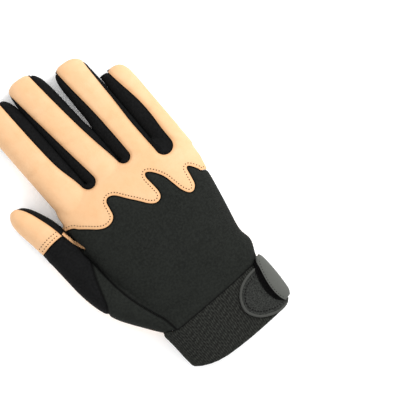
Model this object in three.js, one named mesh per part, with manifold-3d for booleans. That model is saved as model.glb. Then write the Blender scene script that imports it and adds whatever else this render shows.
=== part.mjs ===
// Mechanic's work glove for the right hand, lying palm down.
// Millimetres. +Z up, +Y towards the fingertips, the thumb on the -X side.

import * as THREE from 'three';
import { mergeVertices } from 'three/addons/utils/BufferGeometryUtils.js';
import Module from 'manifold-3d';

const wasm = await Module();
wasm.setup();

// Hand: cuff mouth at Y = 0, crotch line of the fingers at Y = HAND_LENGTH
const HAND_LENGTH = 150;
const HAND_WIDTH = 106;
const HAND_HEIGHT = 33;

// Skin
const WALL = 1.6;
const SEAM_GAP = 0.3;
const SEAM_HEIGHT = 7.5;
const SIDE_FULLNESS = 2.5;

// Reinforcements laid on the outside
const OVERLAY = 1.0;

// Fingers: root is the middle line's place on the crotch line, as a share of
// HAND_WIDTH, and lean is the sideways shift from root to tip
const FINGERS = {
  index: { root: -0.362, lean: -9.1, length: 83.5, width: 27.0, height: 22.0 },
  middle: { root: -0.088, lean: -11.7, length: 87.4, width: 27.6, height: 22.5 },
  ring: { root: 0.174, lean: -7.1, length: 79.0, width: 25.6, height: 22.0 },
  pinky: { root: 0.392, lean: -5.2, length: 57.4, width: 19.4, height: 20.0 },
};
const CAP_START = 0.53;

// Thumb: starts inside the hand and reaches THUMB_REACH to the side
const THUMB_START = 0.22 * HAND_LENGTH;
const THUMB_BASE_X = -0.264 * HAND_WIDTH;
const THUMB_LENGTH = 130;
const THUMB_REACH = 48;
const THUMB_WIDTH = 26;
const THUMB_HEIGHT = 24;
const THUMB_CAP_START = 0.66;
const THUMB_TIP_START = 0.74;
const THUMB_TIP_SLANT = 6;
const THUMB_SIDE_SEAM = 0.7;
const GUSSET_OVERLAP = 5;

// Closure on the back of the cuff
const TAB_LENGTH = 30;
const TAB_WIDTH = 34;
const TAB_THICKNESS = 1.6;
const TAB_OVERHANG = 2.5;
const TAB_CENTRE_Y = 17;
const BINDING_WIDTH = 1.9;
const LIP_THICKNESS = 2.6;
const LIP_WIDTH = 10;
const LIP_LENGTH = 36;

// Facets
const HAND_FACETS = 26;
const FINGER_FACETS = 14;
const LINING_SHARE = 0.75;

// Sections of the hand: Y as a share of HAND_LENGTH, sides of HAND_WIDTH, top of HAND_HEIGHT
const HAND_ROWS = [
  { along: -0.027, radial: -0.320, ulnar: 0.385, top: 0.76 },
  { along: 0.060, radial: -0.345, ulnar: 0.405, top: 0.77 },
  { along: 0.140, radial: -0.360, ulnar: 0.410, top: 0.79 },
  { along: 0.220, radial: -0.378, ulnar: 0.412, top: 0.83 },
  { along: 0.280, radial: -0.375, ulnar: 0.420, top: 0.86 },
  { along: 0.350, radial: -0.392, ulnar: 0.452, top: 0.91 },
  { along: 0.420, radial: -0.410, ulnar: 0.430, top: 0.95 },
  { along: 0.540, radial: -0.440, ulnar: 0.450, top: 1.00 },
  { along: 0.660, radial: -0.465, ulnar: 0.470, top: 1.00 },
  { along: 0.800, radial: -0.487, ulnar: 0.488, top: 0.97 },
  { along: 0.900, radial: -0.497, ulnar: 0.490, top: 0.87 },
  { along: 0.960, radial: -0.495, ulnar: 0.485, top: 0.75 },
  { along: 0.995, radial: -0.470, ulnar: 0.465, top: 0.62 },
];

// Sections of every finger: shares of its length, width and height
const FINGER_ROWS = [
  { along: -0.34, width: 0.98, height: 1.12 },
  { along: -0.10, width: 1.00, height: 1.08 },
  { along: 0.15, width: 1.00, height: 1.02 },
  { along: 0.45, width: 1.00, height: 0.97 },
  { along: 0.72, width: 0.99, height: 0.93 },
  { along: 0.86, width: 0.95, height: 0.89 },
  { along: 0.93, width: 0.86, height: 0.82 },
  { along: 0.975, width: 0.68, height: 0.68 },
  { along: 1.0, width: 0.36, height: 0.44 },
];

// Seams of the finger backs: shares of the half width from the finger's middle
// line, at these shares of its length
const FINGER_SEAM_STEPS = [-0.30, 0.00, 0.25, 0.50, 0.85, 1.15];
const FINGER_SEAMS = {
  index: { radial: [], ulnar: [0.830, 0.830, 0.540, 0.450, 0.425, 0.420] },
  middle: {
    radial: [-0.500, -0.500, -0.600, -0.700, -0.840, -0.940],
    ulnar: [0.950, 0.950, 0.770, 0.650, 0.560, 0.540],
  },
  ring: {
    radial: [-0.380, -0.380, -0.385, -0.430, -0.585, -0.660],
    ulnar: [0.805, 0.805, 0.790, 0.855, 0.895, 0.900],
  },
  pinky: { radial: [0.040, 0.040, 0.130, 0.090, -0.200, -0.400], ulnar: [] },
};

// Ends of the slots between the finger backs: Y as a share of HAND_LENGTH
const SLOTS = [
  { name: 'index_middle', radial: 'index', ulnar: 'middle', end: 0.967 },
  { name: 'middle_ring', radial: 'middle', ulnar: 'ring', end: 0.973 },
  { name: 'ring_pinky', radial: 'ring', ulnar: 'pinky', end: 0.895 },
];

// Sections of the thumb: shares of its length, reach, width and height, with
// the seam of the back panel as a share of the half width from the middle line
const THUMB_ROWS = [
  { along: 0.02, centre: 0.10, width: 0.62, height: 0.92, seam: -0.45 },
  { along: 0.13, centre: 0.29, width: 0.84, height: 1.02, seam: -0.66 },
  { along: 0.21, centre: 0.42, width: 0.96, height: 1.06, seam: -0.70 },
  { along: 0.30, centre: 0.53, width: 1.00, height: 1.06, seam: -0.54 },
  { along: 0.37, centre: 0.60, width: 0.98, height: 1.03, seam: -0.14 },
  { along: 0.45, centre: 0.66, width: 0.94, height: 1.00, seam: 0.30 },
  { along: 0.55, centre: 0.71, width: 0.90, height: 0.97, seam: 0.90 },
  { along: 0.64, centre: 0.75, width: 0.88, height: 0.95, seam: 1.10 },
  { along: 0.72, centre: 0.78, width: 0.87, height: 0.94, seam: 1.20 },
  { along: 0.80, centre: 0.83, width: 0.85, height: 0.92, seam: 1.20 },
  { along: 0.87, centre: 0.89, width: 0.80, height: 0.89, seam: 1.20 },
  { along: 0.93, centre: 0.94, width: 0.69, height: 0.82, seam: 1.20 },
  { along: 0.97, centre: 0.97, width: 0.52, height: 0.68, seam: 1.20 },
  { along: 1.0, centre: 0.99, width: 0.26, height: 0.40, seam: 1.20 },
];

// Scalloped lower edge of the finger leather: shares of HAND_WIDTH and HAND_LENGTH
const KNUCKLE_EDGE = [
  { across: -0.700, along: 0.890 },
  { across: -0.488, along: 0.871 },
  { across: -0.430, along: 0.845 },
  { across: -0.377, along: 0.819 },
  { across: -0.325, along: 0.793 },
  { across: -0.275, along: 0.780 },
  { across: -0.225, along: 0.786 },
  { across: -0.197, along: 0.806 },
  { across: -0.189, along: 0.840 },
  { across: -0.182, along: 0.874 },
  { across: -0.155, along: 0.889 },
  { across: -0.110, along: 0.878 },
  { across: -0.053, along: 0.833 },
  { across: 0.000, along: 0.793 },
  { across: 0.042, along: 0.759 },
  { across: 0.085, along: 0.741 },
  { across: 0.125, along: 0.748 },
  { across: 0.140, along: 0.775 },
  { across: 0.133, along: 0.820 },
  { across: 0.124, along: 0.863 },
  { across: 0.138, along: 0.883 },
  { across: 0.170, along: 0.873 },
  { across: 0.205, along: 0.845 },
  { across: 0.232, along: 0.812 },
  { across: 0.250, along: 0.770 },
  { across: 0.270, along: 0.725 },
  { across: 0.300, along: 0.693 },
  { across: 0.332, along: 0.689 },
  { across: 0.360, along: 0.710 },
  { across: 0.369, along: 0.750 },
  { across: 0.376, along: 0.790 },
  { across: 0.395, along: 0.796 },
  { across: 0.420, along: 0.778 },
  { across: 0.440, along: 0.757 },
  { across: 0.470, along: 0.738 },
  { across: 0.700, along: 0.690 },
];

// Seam between the back panel and the thumb gusset, from cuff to thumb crotch
const GUSSET_SEAM = [
  { across: -0.270, along: 0.150 },
  { across: -0.304, along: 0.259 },
  { across: -0.336, along: 0.311 },
  { across: -0.383, along: 0.385 },
  { across: -0.419, along: 0.452 },
  { across: -0.445, along: 0.519 },
  { across: -0.466, along: 0.600 },
  { across: -0.479, along: 0.667 },
  { across: -0.502, along: 0.747 },
];

// Seam at the upper edge of the cuff
const CUFF_SEAM = [
  { across: -0.800, along: 0.222 },
  { across: -0.385, along: 0.218 },
  { across: -0.283, along: 0.198 },
  { across: -0.178, along: 0.202 },
  { across: -0.010, along: 0.213 },
  { across: 0.199, along: 0.228 },
  { across: 0.404, along: 0.245 },
  { across: 0.800, along: 0.253 },
];

// Outlines of the palm reinforcements
const UPPER_PATCH = [
  { across: 0.440, along: 0.935 },
  { across: 0.280, along: 0.928 },
  { across: 0.038, along: 0.943 },
  { across: -0.103, along: 0.928 },
  { across: -0.290, along: 0.945 },
  { across: -0.420, along: 0.950 },
  { across: -0.462, along: 0.930 },
  { across: -0.455, along: 0.885 },
  { across: -0.388, along: 0.823 },
  { across: -0.323, along: 0.770 },
  { across: -0.246, along: 0.718 },
  { across: -0.170, along: 0.685 },
  { across: -0.071, along: 0.669 },
  { across: 0.017, along: 0.673 },
  { across: 0.126, along: 0.703 },
  { across: 0.257, along: 0.748 },
  { across: 0.367, along: 0.782 },
  { across: 0.440, along: 0.805 },
];
const LOWER_PATCH = [
  { across: 0.435, along: 0.755 },
  { across: 0.367, along: 0.740 },
  { across: 0.257, along: 0.706 },
  { across: 0.148, along: 0.668 },
  { across: 0.038, along: 0.641 },
  { across: -0.071, along: 0.634 },
  { across: -0.180, along: 0.649 },
  { across: -0.268, along: 0.690 },
  { across: -0.345, along: 0.742 },
  { across: -0.410, along: 0.797 },
  { across: -0.445, along: 0.795 },
  { across: -0.440, along: 0.735 },
  { across: -0.394, along: 0.665 },
  { across: -0.345, along: 0.600 },
  { across: -0.311, along: 0.530 },
  { across: -0.260, along: 0.484 },
  { across: -0.137, along: 0.492 },
  { across: -0.020, along: 0.492 },
  { across: 0.060, along: 0.449 },
  { across: 0.148, along: 0.404 },
  { across: 0.236, along: 0.389 },
  { across: 0.302, along: 0.400 },
  { across: 0.356, along: 0.436 },
  { across: 0.400, along: 0.510 },
  { across: 0.428, along: 0.619 },
];

// Outline of the closure tab: shares of TAB_LENGTH from its end and of TAB_WIDTH
const TAB_OUTLINE = [
  { back: 0.00, aside: 0.52 },
  { back: 0.25, aside: 0.52 },
  { back: 0.52, aside: 0.47 },
  { back: 0.76, aside: 0.36 },
  { back: 0.93, aside: 0.18 },
  { back: 1.00, aside: -0.04 },
  { back: 0.95, aside: -0.22 },
  { back: 0.78, aside: -0.39 },
  { back: 0.52, aside: -0.49 },
  { back: 0.25, aside: -0.52 },
  { back: 0.00, aside: -0.52 },
];

// Outline of the lip: shares of LIP_WIDTH from its left edge and of LIP_LENGTH
const LIP_OUTLINE = [
  { in: 0.66, up: 0.60 },
  { in: 0.34, up: 0.44 },
  { in: 0.11, up: 0.26 },
  { in: 0.00, up: 0.02 },
  { in: 0.06, up: -0.16 },
  { in: 0.25, up: -0.31 },
  { in: 0.60, up: -0.41 },
  { in: 1.60, up: -0.38 },
  { in: 1.90, up: 0.00 },
  { in: 1.60, up: 0.50 },
];

const FLOOR_OF_SKIN = OVERLAY + SEAM_GAP;
const CUFF_ULNAR_X = HAND_ROWS[2].ulnar * HAND_WIDTH;
const TAB_END_X = CUFF_ULNAR_X + TAB_OVERHANG;
const FAR = 2 * HAND_LENGTH;

// Solids from geometry
function toSolid(geometry) {
  const bare = geometry.clone();
  bare.deleteAttribute('normal');
  bare.deleteAttribute('uv');
  const merged = mergeVertices(bare, 1e-4);
  return new wasm.Manifold(new wasm.Mesh({
    numProp: 3,
    vertProperties: new Float32Array(merged.attributes.position.array),
    triVerts: new Uint32Array(merged.index.array),
  }));
}

// The largest body, without crumbs where a cut grazes an edge
function mainBody(solid) {
  const bodies = solid.decompose().sort((a, b) => b.volume() - a.volume());
  return bodies[0];
}

function toMesh(name, solid, material) {
  const { vertProperties, triVerts } = mainBody(solid).getMesh();
  const geometry = new THREE.BufferGeometry();
  geometry.setAttribute('position', new THREE.BufferAttribute(vertProperties, 3));
  geometry.setIndex(new THREE.BufferAttribute(triVerts, 1));
  geometry.computeVertexNormals();
  const mesh = new THREE.Mesh(geometry, material);
  mesh.name = name;
  return mesh;
}

function union(solids) {
  return solids.reduce((sum, solid) => sum.add(solid));
}

// Closed tube through loops of equal count, running along +Y
function tube(loops) {
  const count = loops[0].length;
  const positions = [];
  const indices = [];
  for (const loop of loops) {
    for (const point of loop) positions.push(point.x, point.y, point.z);
  }
  for (let ring = 0; ring + 1 < loops.length; ring += 1) {
    for (let step = 0; step < count; step += 1) {
      const a = ring * count + step;
      const b = ring * count + ((step + 1) % count);
      indices.push(a, a + count, b + count, a, b + count, b);
    }
  }
  for (const end of [0, loops.length - 1]) {
    const centre = new THREE.Vector3();
    for (const point of loops[end]) centre.addScaledVector(point, 1 / count);
    const hub = positions.length / 3;
    positions.push(centre.x, centre.y, centre.z);
    for (let step = 0; step < count; step += 1) {
      const a = end * count + step;
      const b = end * count + ((step + 1) % count);
      if (end === 0) indices.push(hub, a, b);
      else indices.push(hub, b, a);
    }
  }
  const geometry = new THREE.BufferGeometry();
  geometry.setAttribute('position', new THREE.Float32BufferAttribute(positions, 3));
  geometry.setIndex(indices);
  return toSolid(geometry);
}

// Full-sided section with a flat underside where it rests
function section({ y, radial, ulnar, bottom, top }, inset, outerFacets) {
  const facets = inset > 0 ? Math.round(outerFacets * LINING_SHARE) : outerFacets;
  const left = radial + inset;
  const right = ulnar - inset;
  const low = bottom + inset;
  const high = top - inset;
  const middle = (left + right) / 2;
  const half = (right - left) / 2;
  const waist = low + 0.46 * (high - low);
  const sink = 0.16 * (waist - low);
  const points = [];
  for (let step = 0; step < facets; step += 1) {
    const angle = (2 * Math.PI * step) / facets;
    const across = Math.sign(Math.cos(angle)) * Math.abs(Math.cos(angle)) ** (2 / SIDE_FULLNESS);
    const up = Math.abs(Math.sin(angle)) ** (2 / SIDE_FULLNESS);
    const z = Math.sin(angle) >= 0
      ? waist + (high - waist) * up
      : Math.max(low, waist - (waist - low + sink) * up);
    points.push(new THREE.Vector3(middle + half * across, y, z));
  }
  return points;
}

function handSkin(inset, mouth) {
  const loops = HAND_ROWS.map((row, index) => {
    const last = index === HAND_ROWS.length - 1;
    return section({
      y: row.along * HAND_LENGTH - (last ? inset : 0),
      radial: row.radial * HAND_WIDTH,
      ulnar: row.ulnar * HAND_WIDTH,
      bottom: FLOOR_OF_SKIN,
      top: FLOOR_OF_SKIN + row.top * HAND_HEIGHT,
    }, inset, HAND_FACETS);
  });
  if (mouth > 0) {
    loops.unshift(loops[0].map((point) => point.clone().setY(point.y - mouth)));
  }
  return tube(loops);
}

function middleOf(finger, along) {
  return finger.root * HAND_WIDTH + finger.lean * along;
}

function fingerSkin(finger, inset) {
  const reach = finger.length - inset;
  return tube(FINGER_ROWS.map((row) => {
    const middle = middleOf(finger, row.along);
    const half = (finger.width * row.width) / 2;
    const rise = finger.height * (1 - row.height) * (row.along > 0.8 ? 0.45 : 0);
    return section({
      y: HAND_LENGTH + row.along * reach,
      radial: middle - half,
      ulnar: middle + half,
      bottom: FLOOR_OF_SKIN + rise,
      top: FLOOR_OF_SKIN + rise + finger.height * row.height,
    }, inset, FINGER_FACETS);
  }));
}

function thumbPlace(row) {
  return {
    y: THUMB_START + row.along * THUMB_LENGTH,
    middle: THUMB_BASE_X - row.centre * THUMB_REACH,
    half: (THUMB_WIDTH * row.width) / 2,
  };
}

function thumbSkin(inset) {
  return tube(THUMB_ROWS.map((row, index) => {
    const { y, middle, half } = thumbPlace(row);
    const last = index === THUMB_ROWS.length - 1;
    const rise = THUMB_HEIGHT * (1 - row.height) * (row.along > 0.9 ? 0.45 : 0);
    return section({
      y: y - (last ? inset : 0),
      radial: middle - half,
      ulnar: middle + half,
      bottom: FLOOR_OF_SKIN + rise,
      top: FLOOR_OF_SKIN + rise + THUMB_HEIGHT * row.height,
    }, inset, FINGER_FACETS);
  }));
}

function gloveSkin(inset, mouth) {
  return union([
    handSkin(inset, mouth),
    ...Object.values(FINGERS).map((finger) => fingerSkin(finger, inset)),
    thumbSkin(inset),
  ]);
}

// Plan outlines
function onHand({ across, along }) {
  return new THREE.Vector2(across * HAND_WIDTH, along * HAND_LENGTH);
}

function smooth(points, closed, count) {
  const curve = new THREE.SplineCurve(closed ? [...points, points[0]] : points);
  return curve.getPoints(count).slice(0, closed ? -1 : undefined);
}

function outset(points, distance) {
  const turn = THREE.ShapeUtils.area(points) > 0 ? 1 : -1;
  return points.map((point, index) => {
    const before = points[(index + points.length - 1) % points.length];
    const after = points[(index + 1) % points.length];
    const along = after.clone().sub(before).normalize();
    return new THREE.Vector2(point.x + turn * distance * along.y, point.y - turn * distance * along.x);
  });
}

function prism(points, low, high) {
  const geometry = new THREE.ExtrudeGeometry(new THREE.Shape(points), {
    depth: high - low,
    bevelEnabled: false,
  });
  geometry.translate(0, 0, low);
  return toSolid(geometry);
}

function column(points) {
  return prism(points, -HAND_HEIGHT, 3 * HAND_HEIGHT);
}

function fingerSeam(finger, shares) {
  const line = FINGER_SEAM_STEPS.map((along, index) => new THREE.Vector2(
    middleOf(finger, along) + (shares[index] * finger.width) / 2,
    HAND_LENGTH + along * finger.length,
  ));
  return smooth(line, false, 10);
}

function xAt(line, y) {
  const after = Math.max(1, line.findIndex((point) => point.y >= y));
  const a = line[after - 1];
  const b = line[after];
  return a.x + ((b.x - a.x) * (y - a.y)) / (b.y - a.y);
}

function slotOutline(slot) {
  const radialFinger = FINGERS[slot.radial];
  const ulnarFinger = FINGERS[slot.ulnar];
  const radialSeams = FINGER_SEAMS[slot.radial];
  const ulnarSeams = FINGER_SEAMS[slot.ulnar];
  const left = fingerSeam(radialFinger, radialSeams.ulnar);
  const right = fingerSeam(ulnarFinger, ulnarSeams.radial);
  const end = slot.end * HAND_LENGTH;
  const radius = (xAt(right, end) - xAt(left, end)) / 2;
  const shoulder = end + radius;
  const centreX = (xAt(left, shoulder) + xAt(right, shoulder)) / 2;
  const halfWidth = (xAt(right, shoulder) - xAt(left, shoulder)) / 2;
  const arc = [];
  for (let step = 0; step <= 8; step += 1) {
    const angle = Math.PI + (Math.PI * step) / 8;
    arc.push(new THREE.Vector2(
      centreX + halfWidth * Math.cos(angle),
      shoulder + radius * Math.sin(angle),
    ));
  }
  const above = (point) => point.y > shoulder + OVERLAY;
  return [...left.filter(above).reverse(), ...arc, ...right.filter(above)];
}

function knuckleOutline() {
  const edge = smooth(KNUCKLE_EDGE.map(onHand), false, 70);
  return [
    ...edge,
    new THREE.Vector2(HAND_WIDTH, FAR),
    new THREE.Vector2(-HAND_WIDTH, FAR),
  ];
}

function cuffOutline() {
  const edge = smooth(CUFF_SEAM.map(onHand), false, 28);
  return [
    ...edge,
    new THREE.Vector2(HAND_WIDTH, -FAR),
    new THREE.Vector2(-HAND_WIDTH, -FAR),
  ];
}

function thumbOutline() {
  const seam = smooth(GUSSET_SEAM.map(onHand), false, 24);
  const clear = THUMB_ROWS.filter((row) => row.along > 0.7).map((row) => {
    const { y, middle, half } = thumbPlace(row);
    return new THREE.Vector2(middle + half + SEAM_GAP, y);
  });
  return [
    ...seam,
    ...clear,
    new THREE.Vector2(-FAR, FAR),
    new THREE.Vector2(-FAR, seam[0].y),
  ];
}

function gussetOutline() {
  const seam = smooth(GUSSET_SEAM.map(onHand), false, 24).map((point) => point.setX(point.x + GUSSET_OVERLAP));
  const rows = THUMB_ROWS.filter((row) => row.seam <= 1.1);
  const panelSeam = smooth(rows.map((row) => {
    const { y, middle, half } = thumbPlace(row);
    return new THREE.Vector2(middle + row.seam * half, y);
  }), false, 24);
  return [...seam.reverse(), ...panelSeam];
}

function thumbTipOutline() {
  const y = THUMB_START + THUMB_TIP_START * THUMB_LENGTH;
  return [
    new THREE.Vector2(-FAR, y - THUMB_TIP_SLANT),
    new THREE.Vector2(THUMB_BASE_X - THUMB_REACH, y - 0.5 * THUMB_TIP_SLANT),
    new THREE.Vector2(THUMB_BASE_X - 0.8 * THUMB_REACH, y),
    new THREE.Vector2(THUMB_BASE_X, y + 0.3 * THUMB_TIP_SLANT),
    new THREE.Vector2(THUMB_BASE_X, FAR),
    new THREE.Vector2(-FAR, FAR),
  ];
}

function thumbSideOutline() {
  const line = THUMB_ROWS.filter((row) => row.along > 0.7).map((row) => {
    const { y, middle, half } = thumbPlace(row);
    return new THREE.Vector2(middle + THUMB_SIDE_SEAM * half, y);
  });
  const start = line[0];
  const end = line[line.length - 1];
  return [
    new THREE.Vector2(THUMB_BASE_X, start.y),
    new THREE.Vector2(THUMB_BASE_X, end.y + THUMB_WIDTH),
    new THREE.Vector2(end.x, end.y + THUMB_WIDTH),
    ...line.reverse(),
  ];
}

function tabOutline(rim) {
  return smooth(TAB_OUTLINE.map((point) => new THREE.Vector2(
    TAB_END_X - point.back * (TAB_LENGTH - rim),
    TAB_CENTRE_Y + point.aside * (TAB_WIDTH - 2 * rim),
  )), false, 22);
}

function lipOutline() {
  const edgeX = TAB_END_X - 0.25 * TAB_LENGTH;
  return smooth(LIP_OUTLINE.map((point) => new THREE.Vector2(
    edgeX + point.in * LIP_WIDTH,
    TAB_CENTRE_Y + 0.02 * TAB_WIDTH + point.up * LIP_LENGTH,
  )), true, 24);
}

// Skin of the whole glove, open at the cuff mouth
const skin = gloveSkin(0, 0).subtract(gloveSkin(WALL, 2 * WALL));

const side = new THREE.BoxGeometry(4 * HAND_LENGTH, 6 * HAND_LENGTH, 4 * HAND_HEIGHT);
const seamLow = SEAM_HEIGHT - SEAM_GAP / 2;
const seamHigh = SEAM_HEIGHT + SEAM_GAP / 2;
const below = toSolid(side.clone().translate(0, 0, seamLow - 2 * HAND_HEIGHT));
const above = toSolid(side.clone().translate(0, 0, seamHigh + 2 * HAND_HEIGHT));

const cuffColumn = column(cuffOutline());
const cuffClear = column(outset(cuffOutline(), SEAM_GAP));
const cuff = skin.intersect(cuffColumn);
const body = skin.subtract(cuffClear);
const palm = body.intersect(below);
const back = body.intersect(above);

// Back of the hand
const thumbBack = back.intersect(column(thumbOutline()));
const handBack = back.subtract(column(outset(thumbOutline(), SEAM_GAP)));
const fingerBacks = handBack.intersect(column(knuckleOutline()));
const backPanel = handBack.subtract(column(outset(knuckleOutline(), SEAM_GAP)))
  .subtract(union(SLOTS.map((slot) => column(outset(slotOutline(slot), SEAM_GAP)))));
const backLeather = fingerBacks.subtract(
  union(SLOTS.map((slot) => column(outset(slotOutline(slot), SEAM_GAP)))),
);
const fourchettes = SLOTS.map((slot) => ({
  name: `fourchette_${slot.name}`,
  solid: handBack.intersect(column(slotOutline(slot))),
}));

// Thumb
const gusset = thumbBack.intersect(column(gussetOutline()));
const thumbShell = thumbBack.subtract(column(outset(gussetOutline(), SEAM_GAP)));
const thumbSide = thumbShell.intersect(column(thumbSideOutline()));
const thumbTop = thumbShell.subtract(column(outset(thumbSideOutline(), SEAM_GAP)));
const thumbTip = thumbTop.intersect(column(thumbTipOutline()));
const thumbPanel = thumbTop.subtract(column(outset(thumbTipOutline(), SEAM_GAP)));

// Reinforcements under the palm and the fingertips
function tipColumn(y) {
  return column([
    new THREE.Vector2(-FAR, y),
    new THREE.Vector2(FAR, y),
    new THREE.Vector2(FAR, FAR),
    new THREE.Vector2(-FAR, FAR),
  ]);
}

const overlaySkin = gloveSkin(-SEAM_GAP - OVERLAY, 0).subtract(gloveSkin(-SEAM_GAP, 2 * WALL));
const underPalm = overlaySkin.intersect(below);
const patches = [
  { name: 'palm_patch_upper', outline: UPPER_PATCH },
  { name: 'palm_patch_lower', outline: LOWER_PATCH },
].map(({ name, outline }) => ({
  name,
  solid: underPalm.intersect(column(smooth(outline.map(onHand), true, 44))),
}));

function fingerOutline(finger) {
  const sides = [-1, 1].map((turn) => FINGER_ROWS.map((row) => new THREE.Vector2(
    middleOf(finger, row.along) + turn * finger.width * row.width * 0.5,
    HAND_LENGTH + row.along * finger.length,
  )));
  const tip = sides[0][sides[0].length - 1];
  const end = new THREE.Vector2(tip.x + 0.18 * finger.width, tip.y + OVERLAY + SEAM_GAP);
  return [...sides[1], end, ...sides[0].reverse()];
}

const caps = Object.entries(FINGERS).map(([name, finger]) => ({
  name: `cap_${name}`,
  solid: fingerSkin(finger, -SEAM_GAP - OVERLAY)
    .subtract(fingerSkin(finger, -SEAM_GAP))
    .intersect(below)
    .intersect(column(fingerOutline(finger)))
    .intersect(tipColumn(HAND_LENGTH + CAP_START * finger.length)),
}));
caps.push({
  name: 'cap_thumb',
  solid: thumbSkin(-SEAM_GAP - OVERLAY)
    .subtract(thumbSkin(-SEAM_GAP))
    .intersect(below)
    .intersect(tipColumn(THUMB_START + THUMB_CAP_START * THUMB_LENGTH)),
});

// Closure on the back of the cuff
function overlayOf(thickness) {
  return handSkin(-SEAM_GAP - thickness, 0).subtract(handSkin(-SEAM_GAP, 2 * WALL)).intersect(above);
}

const lipClear = column(outset(lipOutline(), SEAM_GAP));
const tabSkin = overlayOf(TAB_THICKNESS).subtract(lipClear);
const tabWhole = tabSkin.intersect(column(tabOutline(0)));
const tab = tabWhole.intersect(column(tabOutline(BINDING_WIDTH + SEAM_GAP)));
const binding = tabWhole.subtract(column(tabOutline(BINDING_WIDTH)));
const lip = overlayOf(LIP_THICKNESS).intersect(column(lipOutline()));

// Materials
const tan = new THREE.MeshStandardMaterial({ color: 0xd9b777, roughness: 0.62, metalness: 0 });
const black = new THREE.MeshStandardMaterial({ color: 0x1b1b1d, roughness: 0.9, metalness: 0 });
const pebbled = new THREE.MeshStandardMaterial({ color: 0x262628, roughness: 0.85, metalness: 0 });
const grey = new THREE.MeshStandardMaterial({ color: 0x7c7c78, roughness: 0.8, metalness: 0 });

const glove = new THREE.Group();
glove.add(
  toMesh('back_leather', backLeather, tan),
  toMesh('back_panel', backPanel, black),
  ...fourchettes.map(({ name, solid }) => toMesh(name, solid, black)),
  toMesh('palm_leather', palm, tan),
  ...patches.map(({ name, solid }) => toMesh(name, solid, pebbled)),
  ...caps.map(({ name, solid }) => toMesh(name, solid, black)),
  toMesh('thumb_tip_leather', thumbTip, tan),
  toMesh('thumb_panel', thumbPanel, black),
  toMesh('thumb_side', thumbSide, black),
  toMesh('thumb_gusset', gusset, black),
  toMesh('cuff_band', cuff, black),
  toMesh('closure_tab', tab, pebbled),
  toMesh('tab_binding', binding, grey),
  toMesh('tab_lip', lip, grey),
);

// Origin under the middle of the glove's box, on the surface that it lies on
const box = new THREE.Box3().setFromObject(glove);
const middle = box.getCenter(new THREE.Vector3());
glove.position.set(-middle.x, -middle.y, -box.min.z);

export default glove;
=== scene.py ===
"""Finished surfaces of a mechanic's work glove that lies palm down.

Lengths in the tables are millimetres of the glove: X = 0 on the middle finger's
side of the palm, Y = 0 at the cuff mouth, Z = 0 on the surface below the glove.
"""
import math

import bmesh
import bpy
import numpy as np
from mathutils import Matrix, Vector
from mathutils.bvhtree import BVHTree
from mathutils.kdtree import KDTree


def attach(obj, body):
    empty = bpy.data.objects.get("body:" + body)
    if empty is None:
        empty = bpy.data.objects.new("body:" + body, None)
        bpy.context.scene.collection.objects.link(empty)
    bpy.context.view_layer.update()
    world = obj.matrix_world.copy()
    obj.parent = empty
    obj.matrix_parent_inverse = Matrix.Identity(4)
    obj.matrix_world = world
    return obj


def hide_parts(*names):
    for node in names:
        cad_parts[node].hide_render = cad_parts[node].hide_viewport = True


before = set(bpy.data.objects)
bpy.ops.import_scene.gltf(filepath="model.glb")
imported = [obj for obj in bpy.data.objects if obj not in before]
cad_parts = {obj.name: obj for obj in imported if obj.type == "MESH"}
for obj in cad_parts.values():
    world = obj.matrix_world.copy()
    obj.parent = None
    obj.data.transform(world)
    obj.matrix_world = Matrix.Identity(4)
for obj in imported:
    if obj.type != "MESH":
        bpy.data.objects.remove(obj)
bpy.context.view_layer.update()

bl_info = {
    "name": "Mechanic Glove",
    "version": (1, 0, 0),
    "blender": (4, 5, 0),
    "location": "View3D > Sidebar > Glove",
    "description": "Sewn panels, reinforcements, cuff, closure and stitching of a work glove",
    "category": "Object",
}

MM = 0.001
GLOVE_CENTRE = np.array([-14.947, 117.325, 0.0])

# Hand: cuff mouth at Y = 0, crotch line of the fingers at Y = HAND_LENGTH
HAND_LENGTH = 150.0
HAND_WIDTH = 106.0
HAND_HEIGHT = 33.0
SEAM_HEIGHT = 7.5
SIDE_FULLNESS = 2.5
SKIN_FLOOR = 1.3
WALL_FOOT = 3.0
WAIST = 0.46
FAR = 300.0

# Sections, as shares of the hand's size: along, radial edge, ulnar edge, top
HAND_ROWS = (
    (-0.027, -0.320, 0.385, 0.76),
    (0.060, -0.345, 0.405, 0.77),
    (0.140, -0.360, 0.410, 0.79),
    (0.220, -0.378, 0.412, 0.83),
    (0.280, -0.375, 0.420, 0.86),
    (0.350, -0.392, 0.452, 0.91),
    (0.420, -0.410, 0.430, 0.95),
    (0.540, -0.440, 0.450, 1.00),
    (0.660, -0.465, 0.470, 1.00),
    (0.800, -0.487, 0.488, 0.97),
    (0.900, -0.497, 0.490, 0.87),
    (0.960, -0.495, 0.485, 0.75),
    (0.995, -0.470, 0.465, 0.62),
)

FINGERS = {
    "index": dict(root=-38.4, lean=-9.1, length=82.4, width=27.0, height=22.0),
    "middle": dict(root=-9.3, lean=-11.7, length=86.0, width=27.6, height=22.5),
    "ring": dict(root=18.4, lean=-7.1, length=77.3, width=25.6, height=22.0),
    "pinky": dict(root=41.6, lean=-5.2, length=55.8, width=19.4, height=20.0),
}
FINGER_PRESS = 0.60
CAP_START = 0.53
CAP_REACH = 16.0
# Sections, as shares of the finger's size: along, width, height
FINGER_ROWS = (
    (-0.34, 0.98, 1.12),
    (-0.10, 1.00, 1.08),
    (0.15, 1.00, 1.02),
    (0.45, 1.00, 0.97),
    (0.72, 0.99, 0.93),
    (0.86, 0.95, 0.89),
    (0.93, 0.86, 0.82),
    (0.975, 0.68, 0.68),
    (1.0, 0.36, 0.44),
)

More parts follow.
